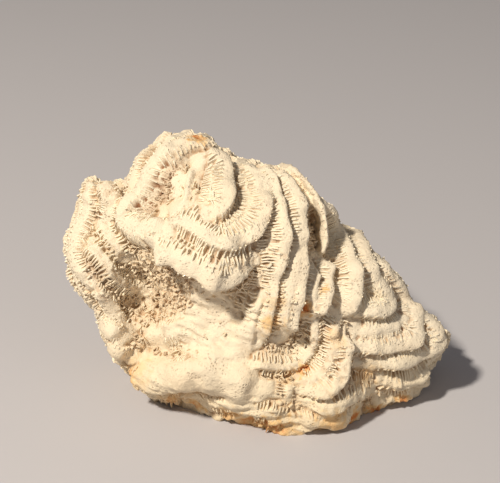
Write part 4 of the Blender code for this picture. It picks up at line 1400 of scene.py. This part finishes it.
def coral_material(name, grain, colour, cream, crumb_scale, pore_scale, bump, roughness):
    """Dry coral: its colour from the values at each point, its relief from the grain."""
    material = bpy.data.materials.new(name)
    material.use_nodes = True
    nodes = Nodes(material.node_tree)
    shader = material.node_tree.nodes["Principled BSDF"]
    fine = nodes.add("ShaderNodeGroup", node_tree=grain)
    nodes.put(fine.inputs["Crumb Scale"], crumb_scale)
    nodes.put(fine.inputs["Pore Scale"], pore_scale)
    tint = nodes.add("ShaderNodeGroup", node_tree=colour)
    for label in ("depth", "slot", "brown", "rust"):
        value = nodes.add("ShaderNodeAttribute", attribute_name=label).outputs["Fac"]
        nodes.put(tint.inputs[label.title()], value)
    nodes.put(tint.inputs["Blotches"], fine.outputs["Blotches"])
    nodes.put(tint.inputs["Pores"], fine.outputs["Pores"])
    nodes.put(tint.inputs["Cream"], cream)
    nodes.put(shader.inputs["Base Color"], tint.outputs["Colour"])
    rougher, smoother = roughness + ROUGHNESS_SPREAD, roughness - ROUGHNESS_SPREAD
    nodes.put(shader.inputs["Roughness"], nodes.range(fine.outputs["Height"], 0.2, 0.7, rougher, smoother))
    height = {"Height": fine.outputs["Height"], "Strength": bump, "Distance": RELIEF_DEPTH}
    relief = nodes.add("ShaderNodeBump", height)
    nodes.put(shader.inputs["Normal"], relief.outputs["Normal"])
    return material


def plain_material(name, colour, roughness):
    material = bpy.data.materials.new(name)
    material.use_nodes = True
    shader = material.node_tree.nodes["Principled BSDF"]
    shader.inputs["Base Color"].default_value = colour
    shader.inputs["Roughness"].default_value = roughness
    return material


def make_floor():
    bpy.ops.object.select_all(action="DESELECT")
    bpy.ops.mesh.primitive_plane_add(size=4, location=(0, 0, 0))
    floor = bpy.context.object
    floor.name = "floor"
    floor.data.materials.append(plain_material("floor_grey", FLOOR_GREY, 0.9))


def aimed(place, target):
    """The turn that points a lamp at this place to its target."""
    return (Vector(place) - Vector(target)).to_track_quat("Z", "Y").to_euler()


def add_area(name, direction, distance, size, power, colour):
    """A round area lamp, in this direction from the middle of the coral."""
    lamp = bpy.data.lights.new(name, "AREA")
    lamp.shape = "DISK"
    lamp.size = size
    lamp.energy = power
    lamp.color = colour
    thing = new_object(name, lamp)
    centre = CENTRE * MM
    thing.location = centre + np.array(Vector(direction).normalized()) * distance
    thing.rotation_euler = aimed(thing.location, centre)


def light_scene():
    add_area(
        "key", direction=(-0.52, -0.58, 0.95), distance=1.0, size=0.10, power=12.4, colour=(1.0, 0.93, 0.82)
    )
    add_area(
        "fill", direction=(0.9, -0.8, 0.5), distance=1.2, size=0.9, power=1.0, colour=(0.85, 0.90, 1.0)
    )
    world = bpy.data.worlds.new("studio")
    world.use_nodes = True
    background = world.node_tree.nodes["Background"]
    background.inputs["Color"].default_value = (0.86, 0.82, 0.82, 1)
    background.inputs["Strength"].default_value = 0.19
    bpy.context.scene.world = world
    bpy.context.scene.view_settings.view_transform = "Standard"


# The photograph: 500 by 483 pixels, 0.25 mm a pixel at the plane, whose centre is seen at this pixel.
PICTURE_WIDTH = 500
PICTURE_HEIGHT = 483
PIXEL = 0.25
CENTRE_PIXEL = (255, 290)
SENSOR = 36.0


def make_camera():
    data = bpy.data.cameras.new("camera")
    camera = new_object("camera", data)
    width = PICTURE_WIDTH * PIXEL
    data.sensor_width = SENSOR
    data.lens = SENSOR * VIEW_DISTANCE / width
    data.clip_end = 10
    data.shift_x = (PICTURE_WIDTH / 2 - CENTRE_PIXEL[0]) / PICTURE_WIDTH
    data.shift_y = (CENTRE_PIXEL[1] - PICTURE_HEIGHT / 2) / PICTURE_WIDTH
    camera.location = EYE * MM
    camera.rotation_euler = Vector(TOWARDS).to_track_quat("Z", "Y").to_euler()
    bpy.context.scene.camera = camera


def main():
    make_camera()
    base = make_base()
    tree = surface_tree(base.data)
    lines = lay_ridges(tree)
    names = list(RIDGES)
    strong = [
        line + (RIB_STRENGTH.get(names[number], 1.0) if number < len(names) else 1.0,)
        for number, line in enumerate(lines)
    ]
    maker = Ribs(base, tree, strong, seed=11)
    traced = maker.trace()
    traced, placed = maker.keep_above(traced, maker.place(traced[0]))
    skin, skin_tree = make_skin(base, tree, lines, maker.samples(traced[0], traced[2]))
    ribs = make_ribs(maker, traced, placed, skin_tree)
    shards = make_shards(base, tree, lines, skin_tree)
    bpy.data.objects.remove(base)
    grain = grain_group()
    colour = colour_group()
    stone = coral_material(
        "coral_stone_skin", grain, colour, CREAM,
        crumb_scale=1500.0, pore_scale=1300.0, bump=0.8, roughness=0.8,
    )
    rib_stone = coral_material(
        "coral_stone_ribs", grain, colour, PALE_CREAM,
        crumb_scale=2200.0, pore_scale=2400.0, bump=0.4, roughness=0.8,
    )
    skin.data.materials.clear()
    skin.data.materials.append(stone)
    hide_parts("brain_coral")
    for piece in [skin, shards] + ribs:
        if piece is not skin:
            piece.data.materials.append(rib_stone)
        set_coordinates(piece.data, coordinates(piece.data) * MM)
        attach(piece, "root")
    make_floor()
    light_scene()


main()
